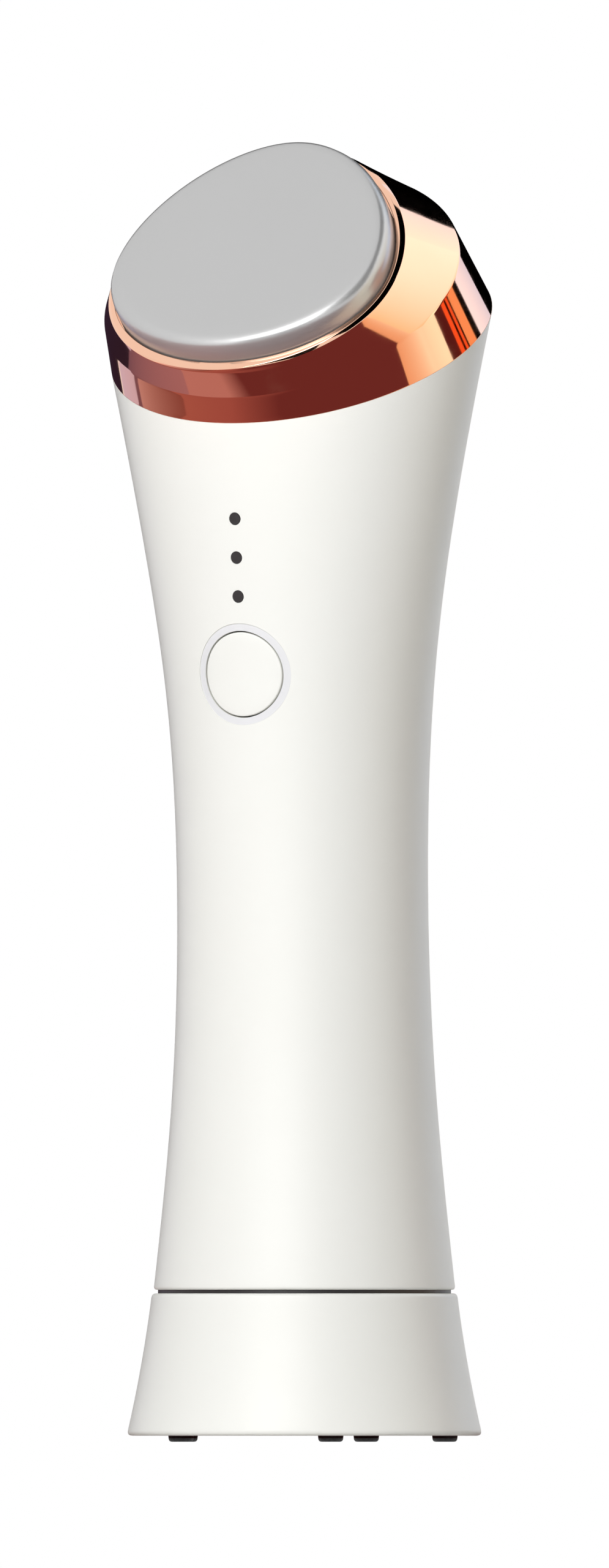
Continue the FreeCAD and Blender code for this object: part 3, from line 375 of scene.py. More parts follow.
# %% [markdown]
# ## The collar
#
# A thin satin ring lies in the dish round the button, a shade cooler than the grip. It follows the skin
# as well, and a fine gap on both sides of it draws the two circles that the eye sees.

# %% Draw the collar
COLLAR_OUTER_GAP = 0.06
COLLAR_INNER_GAP = 0.02
COLLAR_LOW = 0.2

collar_outer = DISH_RADIUS - COLLAR_OUTER_GAP
collar_inner = hole_radius + COLLAR_INNER_GAP
collar_profile = [
    skin_loop(collar_outer, COLLAR_LOW),
    skin_loop(collar_outer, BUTTON_SINK),
    skin_loop(collar_inner, BUTTON_SINK),
    skin_loop(collar_inner, COLLAR_LOW),
    skin_loop(collar_outer, COLLAR_LOW),
]
collar = draw_skin("button_collar", collar_profile, BUTTON_SEGMENTS)
polish(collar)
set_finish(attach(collar, "massager"), "white_plastic")

# %% [markdown]
# ## The power button
#
# The button is a round cap whose face follows the skin too, with a fine rounded edge. Inside the grip it
# has a flange that keeps it in and a stem that presses the switch. Its loops start at the middle of the
# face, run over the edge and go down to the stem.

# %% Draw the button
FACE_RADII = (0.4, 1.5, 3.0, 4.5)
BUTTON_ROUND = 0.2
FLANGE_WIDTH = 0.9
FLANGE_TOP = -3.6
FLANGE_LOW = -4.4
STEM_RADIUS = 1.4
STEM_LOW = -5.0

flange_radius = BUTTON_RADIUS + FLANGE_WIDTH
button_profile = profile(
    *((skin_loop(radius, BUTTON_SINK), 0) for radius in FACE_RADII),
    (skin_loop(BUTTON_RADIUS, BUTTON_SINK), BUTTON_ROUND),
    (round_loop(BUTTON_AXIS, BUTTON_RADIUS, FLANGE_TOP), 0),
    (round_loop(BUTTON_AXIS, flange_radius, FLANGE_TOP), 0),
    (round_loop(BUTTON_AXIS, flange_radius, FLANGE_LOW), 0),
    (round_loop(BUTTON_AXIS, STEM_RADIUS, FLANGE_LOW), 0),
    (round_loop(BUTTON_AXIS, STEM_RADIUS, STEM_LOW), 0),
)
button = draw_skin("button_cap", button_profile, BUTTON_SEGMENTS)
polish(button)
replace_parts(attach(button, "button"), "power_button")
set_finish(button, "white_plastic")

# %% [markdown]
# ## The head ring
#
# The plated ring has two ruled bands. The lower one rises from the grip to a crease, and the upper one
# leans in from the crease to a narrow flat lip round the plate. Because the metal is a mirror, the bands
# have to be truly straight from edge to edge, so each is a few straight rows, with a small round at the
# crease and a fine chamfer at the lip. In front, the lip rises a little towards the plate, so that it
# mirrors less of the plate's wall. Lip and plate share an egg outline: a Bezier quarter with shorter
# handles gives the back its straighter flanks. A skirt under the ring, just inside the grip's wall,
# centres it.

# %% Outlines of the head
HEAD = slope(-15.47, 161.7, 46)
# half width, reach to the front, reach to the back
PLATE = (20.7, 16.6, 23.45)
LIP_EXTRA = (1.0, 1.55, 1.25)
BACK_FULLNESS = 0.49
ROUND_FULLNESS = 0.5523
CREASE = slope(-6.9, 160.4, 43)
CREASE_HALF_WIDTH = 26.35
CREASE_HALF_DEPTH = 22.9


def egg(half_width, front, back, lift):
    """Egg outline on the head's slope, round at the front and with straighter flanks towards the back."""

    def place(clock):
        across, along = math.cos(clock), math.sin(clock)
        share = math.atan2(abs(along), abs(across)) / (math.pi / 2)
        rest = 1 - share
        fullness = BACK_FULLNESS if along > 0 else ROUND_FULLNESS
        x = rest**3 + 3 * rest**2 * share + 3 * rest * share**2 * fullness
        y = share**3 + 3 * share**2 * rest + 3 * share * rest**2 * fullness
        reach = back if along > 0 else front
        flat = Vector((math.copysign(half_width * x, across), math.copysign(reach * y, along), lift))
        return HEAD @ (flat * MM)

    return place


def plate_loop(inset, lift):
    """Loop of the plate's egg outline, drawn in by an inset, at a lift above the lip."""
    return egg(*(side - inset for side in PLATE), lift)


def lip_loop(inset, lift):
    """Loop of the ring's lip, drawn in by an inset, at a lift above the lip's flat."""
    return egg(*(side + extra - inset for side, extra in zip(PLATE, LIP_EXTRA)), lift)


def joint_loop(inset):
    """Loop where the ring meets the grip, drawn in by an inset."""
    return grip_loop(GRIP_LEVELS[-1], inset)


def crease_loop(inset):
    """Loop of the crease between the two bands, drawn in by an inset."""
    half_depth = CREASE_HALF_DEPTH - inset
    return oval(CREASE, CREASE_HALF_WIDTH - inset, half_depth, half_depth)


def forward(loop, front_loop):
    """Loop that turns into another one towards the front."""
    return lambda clock: loop(clock).lerp(front_loop(clock), max(0.0, -math.sin(clock)))


half_width, front, back = (side + extra for side, extra in zip(PLATE, LIP_EXTRA))
print("the lip is", round(2 * half_width, 2), "mm wide and", round(front + back, 2), "mm long")

# %% Draw the ring
RING_SEGMENTS = 256
BAND_ROWS = 5
JOINT_ROUND = 0.12
CREASE_ROUND = 0.25
CHAMFER_START = 0.94
CHAMFER_WIDTH = 0.3
CHAMFER_ROUND = 0.08
LIP_RISE = 0.3
RECESS_GAP = 0.2
RECESS_ROUND = 0.12
LEDGE_TOP = -1.5
LEDGE_LOW = -3.0
LEDGE_WIDTH = 4.5
LIP_WALL = 2.4
CREASE_WALL = 2.2
SKIRT_LEVEL = 149.2
SKIRT_INSET = WALL + 0.15
SKIRT_CORE = 3.6


def band(first, second):
    """Stations that keep a band straight between two loops."""
    return [(between(first, second, row / BAND_ROWS), 0) for row in range(1, BAND_ROWS)]


joint = joint_loop(0)
crease = crease_loop(0)
lip = lip_loop(0, 0)
ring_profile = profile(
    (grip_loop(SKIRT_LEVEL, SKIRT_INSET), 0),
    (joint_loop(SKIRT_INSET), 0),
    (joint, JOINT_ROUND),
    *band(joint, crease),
    (crease, CREASE_ROUND),
    *band(crease, lip),
    (between(crease, lip, CHAMFER_START), CHAMFER_ROUND),
    (lip_loop(CHAMFER_WIDTH, 0), CHAMFER_ROUND),
    (forward(plate_loop(-RECESS_GAP, 0), plate_loop(-RECESS_GAP, LIP_RISE)), RECESS_ROUND),
    (plate_loop(-RECESS_GAP, LEDGE_TOP), 0),
    (plate_loop(LEDGE_WIDTH, LEDGE_TOP), 0),
    (plate_loop(LEDGE_WIDTH, LEDGE_LOW), 0),
    (lip_loop(LIP_WALL, LEDGE_LOW), 0),
    (crease_loop(CREASE_WALL), 0),
    (joint_loop(SKIRT_CORE), 0),
    (grip_loop(SKIRT_LEVEL, SKIRT_CORE), 0),
    (grip_loop(SKIRT_LEVEL, SKIRT_INSET), 0),
)
head_ring = draw_skin("plated_ring", ring_profile, RING_SEGMENTS)
polish(head_ring)
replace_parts(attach(head_ring, "massager"), "head_ring")
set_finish(head_ring, "rose_gold")

# %% [markdown]
# ## The massage plate
#
# The plate is pressed metal: a flat egg-shaped face that runs over a soft round into a short wall. The
# face is one plain plane, so one flat face closes it, and the round is taken along a few loops.

# %% Draw the plate
PLATE_PROUD = 3.6
PLATE_SUNK = 1.0
PLATE_ROUND = 2.0
UNDERSIDE_INSET = 1
FACE_INSETS = (4, 12)

plate_profile = profile(
    (plate_loop(UNDERSIDE_INSET, -PLATE_SUNK), 0),
    (plate_loop(0, -PLATE_SUNK), 0),
    (plate_loop(0, PLATE_PROUD), PLATE_ROUND),
    *((plate_loop(inset, PLATE_PROUD), 0) for inset in FACE_INSETS),
)
massage_plate = draw_skin("massage_face", plate_profile, RING_SEGMENTS)
polish(massage_plate)
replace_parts(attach(massage_plate, "massager"), "massage_plate")
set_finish(massage_plate, "plate_metal")

# %% [markdown]
# ## The charging stand
#
# The stand is a round shell with a slightly hollow flare, a soft top edge and a low spigot that centres
# the grip. Its flare is an arc of a large circle, so the loops of the side follow that arc. The contact
# holes and the slot of the charging socket are cut afterwards, and the inside is left to the base plate
# that closes it.

# %% Outline of the stand
FLOOR = Matrix()
# radius and height of each edge
STAND_BOTTOM = (24.7, 0.85)
STAND_TOP = (21.2, 20.6)
SPIGOT = (11.0, 25.6)
STAND_WALL = 1.6
FLARE_RADIUS = 186.0
FLARE_ROWS = 12


def flare_radius(height):
    """Radius of the stand's hollow side at a height."""
    low, high = Vector(STAND_BOTTOM), Vector(STAND_TOP)
    chord = high - low
    sagitta = FLARE_RADIUS - math.sqrt(FLARE_RADIUS**2 - chord.length_squared / 4)
    share = (height - low.y) / chord.y
    return low.lerp(high, share).x - 4 * sagitta * share * (1 - share)


def stand_loop(radius, height):
    """Circle about the stand's axis."""
    return round_loop(FLOOR, radius, height)


def flare(inset, rows):
    """Stations up the stand's side, drawn in by an inset."""
    heights = [STAND_BOTTOM[1] + (STAND_TOP[1] - STAND_BOTTOM[1]) * row / FLARE_ROWS for row in rows]
    return [(stand_loop(flare_radius(height) - inset, height), 0) for height in heights]


halfway = flare_radius((STAND_BOTTOM[1] + STAND_TOP[1]) / 2)
print("the stand's side is", round(halfway, 2), "mm from the axis half way up")

# %% Draw the stand
STAND_SEGMENTS = 192
BOTTOM_ROUND = 0.8
TOP_ROUND = 0.6
CORNER_ROUND = 0.25
CLOSING_RADIUS = 2

ceiling = STAND_TOP[1] - STAND_WALL
spigot_bore = SPIGOT[0] - STAND_WALL
spigot_ceiling = SPIGOT[1] - STAND_WALL
stand_profile = profile(
    (stand_loop(CLOSING_RADIUS, spigot_ceiling), 0),
    (stand_loop(spigot_bore, spigot_ceiling), 0),
    (stand_loop(spigot_bore, ceiling), 0),
    (stand_loop(STAND_TOP[0] - STAND_WALL, ceiling), 0),
    *flare(STAND_WALL, range(FLARE_ROWS - 2, -1, -1)),
    (stand_loop(*STAND_BOTTOM), BOTTOM_ROUND),
    *flare(0, range(1, FLARE_ROWS)),
    (stand_loop(*STAND_TOP), TOP_ROUND),
    (stand_loop(SPIGOT[0], STAND_TOP[1]), CORNER_ROUND),
    (stand_loop(*SPIGOT), TOP_ROUND),
    (stand_loop(CLOSING_RADIUS, SPIGOT[1]), 0),
)
stand = draw_skin("stand_body", stand_profile, STAND_SEGMENTS)

# %% Cut the contact holes and the socket slot
CONTACT_X = 5.5
CONTACT_HOLE_RADIUS = 0.95
SOCKET_HEIGHT = 12.57
SLOT_WIDTH = 9.34
SLOT_THICKNESS = 3.66
SLOT_CUTTER_ENDS = (16, 30)
CONTACT_SEGMENTS = 48
SLOT_SEGMENTS = 64


def slot_loop(lift):
    """Outline of the socket slot, flat above and below and round at both sides."""
    line = slope(0, SOCKET_HEIGHT, -90)
    radius = SLOT_THICKNESS / 2
    shift = SLOT_WIDTH / 2 - radius

    def place(clock):
        x = math.copysign(shift, math.cos(clock)) + radius * math.cos(clock)
        return line @ (Vector((x, radius * math.sin(clock), lift)) * MM)

    return place


hole_line = Matrix.Translation((-CONTACT_X * MM, 0, 0))
lifts = (SPIGOT[1] - 2 * STAND_WALL, SPIGOT[1] + STAND_WALL)
drill_loops = [round_loop(hole_line, CONTACT_HOLE_RADIUS, lift) for lift in lifts]
drill = draw_skin("contact_drill", drill_loops, CONTACT_SEGMENTS)
carve(stand, joined([drill, *copies(drill, [(2 * CONTACT_X, 0, 0)])]))
carve(stand, draw_skin("slot_cutter", [slot_loop(lift) for lift in SLOT_CUTTER_ENDS], SLOT_SEGMENTS))
polish(stand)
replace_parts(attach(stand, "stand"), "stand_shell")
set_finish(stand, "white_plastic")

# %% [markdown]
# ## The rubber feet
#
# Five small rubber pucks stand under the base, one at the back, two at the sides and two in front. Each
# is a moulded plug with a rounded lower edge, so one is drawn and then copied round the base, every copy
# with a mesh of its own, and the five are joined.

# %% Draw the feet
FOOT_RADIUS = 1.85
FOOT_TOP = 1.65
FOOT_CIRCLE = 18.9
SIDE_FOOT_CIRCLE = 20.5
# distance from the axis, turn from the back in degrees
FOOT_TURNS = ((FOOT_CIRCLE, 0), (SIDE_FOOT_CIRCLE, 81), (FOOT_CIRCLE, 141.9))
FOOT_TAPER = 0.15
FOOT_EDGE_ROUND = 0.45
FOOT_CLOSING_RADIUS = 0.5
FOOT_SEGMENTS = 48

foot_profile = profile(
    (round_loop(FLOOR, FOOT_CLOSING_RADIUS, 0), 0),
    (round_loop(FLOOR, FOOT_RADIUS - FOOT_TAPER, 0), FOOT_EDGE_ROUND),
    (round_loop(FLOOR, FOOT_RADIUS, FOOT_TOP), 0),
    (round_loop(FLOOR, FOOT_CLOSING_RADIUS, FOOT_TOP), 0),
)
pattern = draw_skin("soft_feet", foot_profile, FOOT_SEGMENTS)
places = []
for circle, turn in FOOT_TURNS:
    x, y = circle * math.sin(math.radians(turn)), circle * math.cos(math.radians(turn))
    places += [(x, y, 0), (-x, y, 0)] if turn else [(x, y, 0)]
soft_feet = joined(list(copies(pattern, places)))
bpy.data.objects.remove(pattern)
soft_feet.name = "soft_feet"
polish(soft_feet)
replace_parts(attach(soft_feet, "stand"), "rubber_feet")
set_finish(soft_feet, "black_rubber")

# %% [markdown]
# ## Finishes
#
# Colours are written as sRGB hex values and turned to linear light by one function. One more function
# adds a node with its settings and links, and every finish is a short list of such nodes on Object
# coordinates.

# %% Colour and node helpers
BLOTCH_DETAIL = 3.0
GRAIN_DETAIL = 2.0
NOISE_LOW = 0.3
NOISE_HIGH = 0.7
FINISHES = {}


def linear(colour):
    """Linear RGBA of an sRGB hex colour."""
    parts = [int(colour[start : start + 2], 16) / 255 for start in (1, 3, 5)]
    return [part / 12.92 if part <= 0.04045 else ((part + 0.055) / 1.055) ** 2.4 for part in parts] + [1]


def add(tree, kind, settings=(), links=()):
    """Adds a node; a setting is an input's value or, if there is no such input, a property."""
    node = tree.nodes.new(kind)
    for name, value in dict(settings).items():
        if isinstance(name, int) or name in node.inputs:
            node.inputs[name].default_value = value
        else:
            setattr(node, name, value)
    for name, source in dict(links).items():
        tree.links.new(source, node.inputs[name])
    return node


def finish(slot, name, shader, colours, blotch, gloss, grain, relief=0.0):
    """Material for a slot: two close colours in soft blotches, a wandering gloss and a fine grain.

    Blotch and grain are sizes in millimetres, and the relief is the depth of the grain in millimetres.
    """
    material = bpy.data.materials.new(name)
    material.use_nodes = True
    tree = material.node_tree
    surface = tree.nodes["Principled BSDF"]
    for socket, value in shader.items():
        surface.inputs[socket].default_value = value
    place = add(tree, "ShaderNodeTexCoord").outputs["Object"]
    patches = {"Scale": 1 / (blotch * MM), "Detail": BLOTCH_DETAIL}
    blotches = add(tree, "ShaderNodeTexNoise", patches, {"Vector": place})
    specks = {"Scale": 1 / (grain * MM), "Detail": GRAIN_DETAIL}
    grains = add(tree, "ShaderNodeTexNoise", specks, {"Vector": place})
    mix = add(
        tree,
        "ShaderNodeMix",
        {"data_type": "RGBA", 6: linear(colours[0]), 7: linear(colours[1])},
        {0: blotches.outputs["Fac"]},
    )
    tree.links.new(mix.outputs[2], surface.inputs["Base Color"])
    wander = add(
        tree,
        "ShaderNodeMapRange",
        {"From Min": NOISE_LOW, "From Max": NOISE_HIGH, "To Min": gloss[0], "To Max": gloss[1]},
        {"Value": grains.outputs["Fac"]},
    )
    tree.links.new(wander.outputs["Result"], surface.inputs["Roughness"])
    if relief:
        bump = add(
            tree,
            "ShaderNodeBump",
            {"Strength": 1.0, "Distance": relief * MM},
            {"Height": grains.outputs["Fac"]},
        )
        tree.links.new(bump.outputs["Normal"], surface.inputs["Normal"])
    FINISHES[slot] = material
    print(name, "mixed from", colours)


# %% [markdown]
# ### White moulded plastic
#
# Grip, button and stand are ABS, moulded in a polished tool: a warm white, smooth to the hand, with a
# soft sheen that spreads the studio lamps into broad bands. The polish is not perfect, so the gloss
# wanders a little over a few millimetres. The collar is ABS too, but from an etched tool: cooler, flatter
# and without the clear sheen, so that a pale grey ring shows.

# %% White plastic
finish(
    "white_plastic", "moulded_white_abs",
    {"IOR": 1.52, "Specular IOR Level": 0.4, "Coat Weight": 0.12, "Coat Roughness": 0.35},
    ("#F5F5F1", "#F3F3EE"),
    blotch=18, gloss=(0.44, 0.48), grain=5,
)
finish(
    "collar_plastic", "satin_collar_abs",
    {"IOR": 1.52, "Specular IOR Level": 0.4},
    ("#E9E9EB", "#E7E7EA"),
    blotch=6, gloss=(0.48, 0.54), grain=2,
)

# %% [markdown]
# ### Rose-gold plating
#
# The ring is plated plastic: a thin, mirror-bright layer of copper-rich gold. Its colour is all in its
# reflections, so the roughness stays very low, with a faint haze that changes over a few millimetres.

# %% Rose gold
finish(
    "rose_gold", "rose_gold_plating", {"Metallic": 1.0}, ("#F6C6AA", "#F3C0A3"),
    blotch=9, gloss=(0.045, 0.075), grain=3.0,
)

# %% [markdown]
# ### Plate metal
#
# The plate is polished steel with a satin face, an even light grey under a soft sky. A fine polishing
# grain under half a millimetre wide breaks its gloss a little.

# %% Plate metal
finish(
    "plate_metal", "satin_polished_steel", {"Metallic": 0.6}, ("#C1C1C1", "#BFBFBF"),
    blotch=14, gloss=(0.28, 0.34), grain=0.45,
)

# %% [markdown]
# ### Rubber, lamp windows and contacts
#
# The feet are near-black rubber, dull and slightly dusty. The lamp windows are smoked acrylic, dark while
# the lamps are off. Contact pins and pads are gold-plated brass, screws and the socket's shell are
# zinc-plated steel, and the cap that closes the grip is nylon coloured near-black, which paints the shade
# of the seam above the stand as a dark line.

# %% Small outer finishes
finish(
    "black_rubber", "black_moulded_rubber", {"IOR": 1.52}, ("#1C1C1D", "#262627"),
    blotch=2, gloss=(0.55, 0.75), grain=0.3, relief=0.01,
)
finish(
    "smoked_plastic", "smoked_acrylic", {"IOR": 1.49}, ("#313233", "#3A3B3D"),
    blotch=1.2, gloss=(0.16, 0.26), grain=0.4,
)
finish(
    "contact_brass", "gold_plated_brass", {"Metallic": 1.0}, ("#E2BE6A", "#D9B25C"),
    blotch=2, gloss=(0.18, 0.3), grain=0.3,
)
finish(
    "screw_steel", "zinc_plated_steel", {"Metallic": 1.0}, ("#B9BBBE", "#A9ABAF"),
    blotch=1.5, gloss=(0.25, 0.4), grain=0.25,
)
# Near-black nylon for the grip's bottom cap: its colour paints the shade of the seam above the stand.
finish(
    "black_plastic", "black_nylon_painted_seam_shade", {"IOR": 1.53}, ("#141415", "#1D1D1F"),
    blotch=3, gloss=(0.4, 0.5), grain=0.3, relief=0.004,
)

# %% [markdown]
# ### Inner finishes
#
# What is inside only shows when the object is taken apart, but each piece still gets the finish of its
# real material: grey moulded plastic for the frame and base plate, solder mask on the boards, a sleeved
# battery cell, lamps cast in cream epoxy, a dense sintered weight on the motor, ceramic and pellets in
# the heat pump, and bare aluminium for the heat sink.

# %% Inner finishes
finish(
    "inner_plastic", "grey_moulded_abs", {"IOR": 1.52}, ("#8C8C8A", "#838381"),
    blotch=6, gloss=(0.5, 0.6), grain=0.4, relief=0.004,
)
finish(
    "circuit_board", "green_solder_mask", {"IOR": 1.5}, ("#1E6B43", "#185A38"),
    blotch=4, gloss=(0.3, 0.42), grain=0.5,
)
finish(
    "cell_can", "blue_cell_sleeve", {"IOR": 1.5}, ("#3F6B9E", "#386292"),
    blotch=7, gloss=(0.25, 0.35), grain=0.8,
)
finish(
    "lamp_body", "cream_lamp_epoxy", {"IOR": 1.5}, ("#F0EEDC", "#E6E3CE"),
    blotch=1, gloss=(0.2, 0.3), grain=0.3,
)
finish(
    "weight_metal", "sintered_tungsten", {"Metallic": 1.0}, ("#8E8E91", "#7C7C80"),
    blotch=1.5, gloss=(0.4, 0.55), grain=0.2,
)
finish(
    "white_ceramic", "fired_alumina", {"IOR": 1.76}, ("#F1F0EC", "#E7E6E0"),
    blotch=3, gloss=(0.45, 0.6), grain=0.25, relief=0.003,
)
finish(
    "pellet_metal", "bismuth_telluride", {"Metallic": 1.0}, ("#86868C", "#74747B"),
    blotch=0.8, gloss=(0.35, 0.5), grain=0.2,
)
finish(
    "sink_aluminium", "extruded_aluminium", {"Metallic": 1.0}, ("#D2D3D6", "#C6C8CB"),
    blotch=5, gloss=(0.3, 0.42), grain=0.3,
)

# %% Dress every node and piece
def dress(thing, slot):
    """Gives a node or a piece the finish of a slot."""
    thing.data.materials.clear()
    thing.data.materials.append(FINISHES[slot])


for subpart in frame["record"]["subparts"]:
    dress(frame["nodes"][subpart["node"]], subpart["material_slot"])
pieces = (hand_grip, button, head_ring, massage_plate, stand, soft_feet)
for piece in pieces:
    dress(piece, piece["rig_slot"])
dress(collar, "collar_plastic")

# %% [markdown]
# ## Studio
#
# The photograph shows the object on white, with a soft lamp to the left of the camera, so that the grip
# fades to grey on its right. World and floor are plain white where the camera, a mirror or glass sees
# them, and give only a mild fill to everything else.

# %% World
WHITE = "#FFFFFF"
FILL_LEVEL = 0.06


def seen_directly(tree):
    """1 for rays from the camera, a mirror or glass, and 0 for scattered light."""
    path = add(tree, "ShaderNodeLightPath").outputs
    seen = path["Is Camera Ray"]
    for kind in ("Is Glossy Ray", "Is Transmission Ray"):
        seen = add(tree, "ShaderNodeMath", {"operation": "MAXIMUM"}, {0: seen, 1: path[kind]}).outputs[0]
    return seen


world = bpy.data.worlds.new("studio")
bpy.context.scene.world = world
world.use_nodes = True
sky = world.node_tree
sky.nodes.clear()
fill = add(sky, "ShaderNodeBackground", {"Color": linear(WHITE), "Strength": FILL_LEVEL})
page = add(sky, "ShaderNodeBackground", {"Color": linear(WHITE), "Strength": 1.0})
either = {0: seen_directly(sky), 1: fill.outputs[0], 2: page.outputs[0]}
shown = add(sky, "ShaderNodeMixShader", (), either)
add(sky, "ShaderNodeOutputWorld", (), {"Surface": shown.outputs[0]})
print("the world is white to the eye and gives a fill of", FILL_LEVEL)

# %% Floor
FLOOR_SIZE = 12
PAPER_FIBRE = 3
GLOW_LEVEL = 1.12
GLOW_SHARE = 0.85

bpy.ops.object.select_all(action="DESELECT")
bpy.ops.mesh.primitive_plane_add(size=FLOOR_SIZE)
floor = bpy.context.object
floor.name = "studio_floor"
paper = bpy.data.materials.new("white_paper")
paper.use_nodes = True
sheet = paper.node_tree
sheet.nodes.clear()
place = add(sheet, "ShaderNodeTexCoord").outputs["Object"]
fibre = {"Scale": 1 / (PAPER_FIBRE * MM)}
fibres = add(sheet, "ShaderNodeTexNoise", fibre, {"Vector": place}).outputs["Fac"]
matt = add(sheet, "ShaderNodeBsdfDiffuse", {"Color": linear("#F2F2F0")}, {"Roughness": fibres})
glow = add(sheet, "ShaderNodeEmission", {"Color": linear(WHITE), "Strength": GLOW_LEVEL})
bright = add(sheet, "ShaderNodeMixShader", {0: GLOW_SHARE}, {1: matt.outputs[0], 2: glow.outputs[0]})
either = {0: seen_directly(sheet), 1: matt.outputs[0], 2: bright.outputs[0]}
shown = add(sheet, "ShaderNodeMixShader", (), either)
add(sheet, "ShaderNodeOutputMaterial", (), {"Surface": shown.outputs[0]})
floor.data.materials.append(paper)
print("the floor is", FLOOR_SIZE, "m wide and white to the eye")

# %% [markdown]
# ### Lamps and cards
#
# Two soft lamps do the work: a large key lamp in front, and a rim lamp behind that lifts the grip's right
# edge and is kept out of mirrors. A mirror-bright ring only looks like metal when it has something dark
# and something bright to reflect, so a photographer lays cloths on the table and stands cards round it,
# outside the picture. Only mirrors see them: maroon and plum cloths in front, warm ones on the right, and
# then standing cards.

# %% Lamps
GRIP_MIDDLE = Vector((0, 0, 0.1))
RING_MIDDLE = Vector((0, -0.008, 0.158))


def toward(start, azimuth, elevation, distance):
    """Point at a distance from a start; azimuth 0 is straight in front, and 90 is to the right."""
    turn, rise = math.radians(azimuth), math.radians(elevation)
    line = Vector((math.sin(turn) * math.cos(rise), -math.cos(turn) * math.cos(rise), math.sin(rise)))
    return start + distance * line


def facing(place, target):
    """Turn that points a lamp or card at a target."""
    return (target - place).to_track_quat("-Z", "Y").to_euler()


def soft_box(name, azimuth, elevation, distance, width, height, level):
    """Lamp behind a white cloth, as bright all over as a level, where 1 is the white of the page."""
    light = bpy.data.lights.new(name, "AREA")
    light.shape = "RECTANGLE"
    light.size = width
    light.size_y = height
    light.energy = level * math.pi * width * height
    lamp = bpy.data.objects.new(name, light)
    bpy.context.scene.collection.objects.link(lamp)
    lamp.location = toward(GRIP_MIDDLE, azimuth, elevation, distance)
    lamp.rotation_euler = facing(lamp.location, GRIP_MIDDLE)
    print(name, "of", round(light.energy, 2), "watts")
    return lamp


soft_box("key_lamp", azimuth=6, elevation=27, distance=1.1, width=0.8, height=1.0, level=5.0)
rim_lamp = soft_box("rim_lamp", azimuth=170, elevation=15, distance=1.2, width=0.7, height=0.7, level=3.4)
rim_lamp.visible_glossy = False

# %% Cards for the mirror ring
def glow_of(colour, level):
    """Linear colour at a level of brightness, where 1 is the white of the page."""
    return [part * level for part in linear(colour)[:3]] + [1]


def card(name, place, turn, size, low, high):
    """Card that only mirrors see, blending along its height from one (colour, level) to another."""
    bpy.ops.object.select_all(action="DESELECT")
    bpy.ops.mesh.primitive_plane_add(size=1, location=place, rotation=turn)
    board = bpy.context.object
    board.name = name
    board.scale = (*size, 1)
    material = bpy.data.materials.new(name)
    material.use_nodes = True
    tree = material.node_tree
    tree.nodes.clear()
    place = add(tree, "ShaderNodeTexCoord").outputs["Object"]
    height = add(tree, "ShaderNodeSeparateXYZ", (), {"Vector": place}).outputs["Y"]
    share = add(tree, "ShaderNodeMath", {"operation": "ADD", 1: 0.5}, {0: height}).outputs[0]
    ends = {"data_type": "RGBA", 6: glow_of(*low), 7: glow_of(*high)}
    blend = add(tree, "ShaderNodeMix", ends, {0: share})
    light = add(tree, "ShaderNodeEmission", (), {"Color": blend.outputs[2]})
    add(tree, "ShaderNodeOutputMaterial", (), {"Surface": light.outputs[0]})
    board.data.materials.append(material)
    board.visible_camera = False
    board.visible_diffuse = False
    board.visible_shadow = False


# %% Cloths on the table
CLOTH_TURN = math.radians(-12.4)
CLOTH_LIFT = 0.5


def cloth(name, left, right, front, back, low, high, sideways=False):
    """Card laid on the table, all turned by one angle; sideways blends it from left to right."""
    middle = Vector(((left + right) / 2, (front + back) / 2, CLOTH_LIFT * MM))
    place = Matrix.Rotation(CLOTH_TURN, 3, "Z") @ middle
    width, depth = right - left, back - front
    if sideways:
        card(name, place, (0, 0, CLOTH_TURN - math.pi / 2), (depth, width), low, high)
    else:
        card(name, place, (0, 0, CLOTH_TURN), (width, depth), low, high)


CLOTH_EDGE = 0.034
ROW_EDGE = -0.035
MAROON = ("#703637", 1)
BRICK = ("#A45F5B", 1)
ROSE = ("#C08A8A", 1)
CREAM = ("#FFF8E0", 1.2)
# name, left, right, front and back in metres, both colours with their levels, whether sideways
CLOTHS = (
    ("rose_cloth", -0.9, -0.19, -0.9, ROW_EDGE, ("#FFDADD", 1.09), ("#8E5550", 1), True),
    ("brick_cloth", -0.19, -0.06, -0.9, ROW_EDGE, ("#AD6A63", 1), BRICK, True),
    ("blend_cloth", -0.06, 0.04, -0.9, ROW_EDGE, BRICK, MAROON, True),
    ("dark_cloth", 0.04, 0.9, -0.9, ROW_EDGE, MAROON, MAROON),
    ("plum_cloth", -0.75, -0.14, ROW_EDGE, 0.45, ("#3F304B", 1), ("#AB7E89", 1), True),
    ("pale_strip", -0.14, -0.066, ROW_EDGE, 0.2, ROSE, ROSE),
    ("fading_strip", -0.066, -0.036, ROW_EDGE, CLOTH_EDGE, ROSE, MAROON, True),
    ("dark_runner", -0.036, 0.9, ROW_EDGE, CLOTH_EDGE, MAROON, MAROON),
    ("warm_cloth", 0.08, 1.2, CLOTH_EDGE, 0.27, ("#F8C096", 1.05), CREAM),
    ("pale_cloth", 0.08, 1.2, 0.27, 1.0, CREAM, CREAM),
)
for row in CLOTHS:
    cloth(*row)
print(len(CLOTHS), "cloths on the table")

# %% [markdown]
# ### Standing cards
#
# The bright bands on the right come from a large cream card, with a small pale card before it and cooler
# ones beside it, and the dark slats in them from a rack of coloured strips. Black screens draw the fine
# black line along the lip, a plum screen and a small lilac card shape the left end, and a black flag
# blacks out the back.

# %% Standing cards
def standing_card(name, azimuth, elevation, distance, size, low, high, sideways=False):
    """Card that faces the ring from an azimuth and an elevation; sideways blends it along the azimuth."""
    place = toward(RING_MIDDLE, azimuth, elevation, distance)
    turn = facing(place, RING_MIDDLE)
    if sideways:
        turn = (turn.to_matrix() @ Matrix.Rotation(-math.pi / 2, 3, "Z")).to_euler()
        size = size[::-1]
    card(name, place, turn, size, low, high)


BLACK = ("#000000", 1)
PLUM = ("#2F202F", 1)
LILAC = ("#D6CCE8", 1)
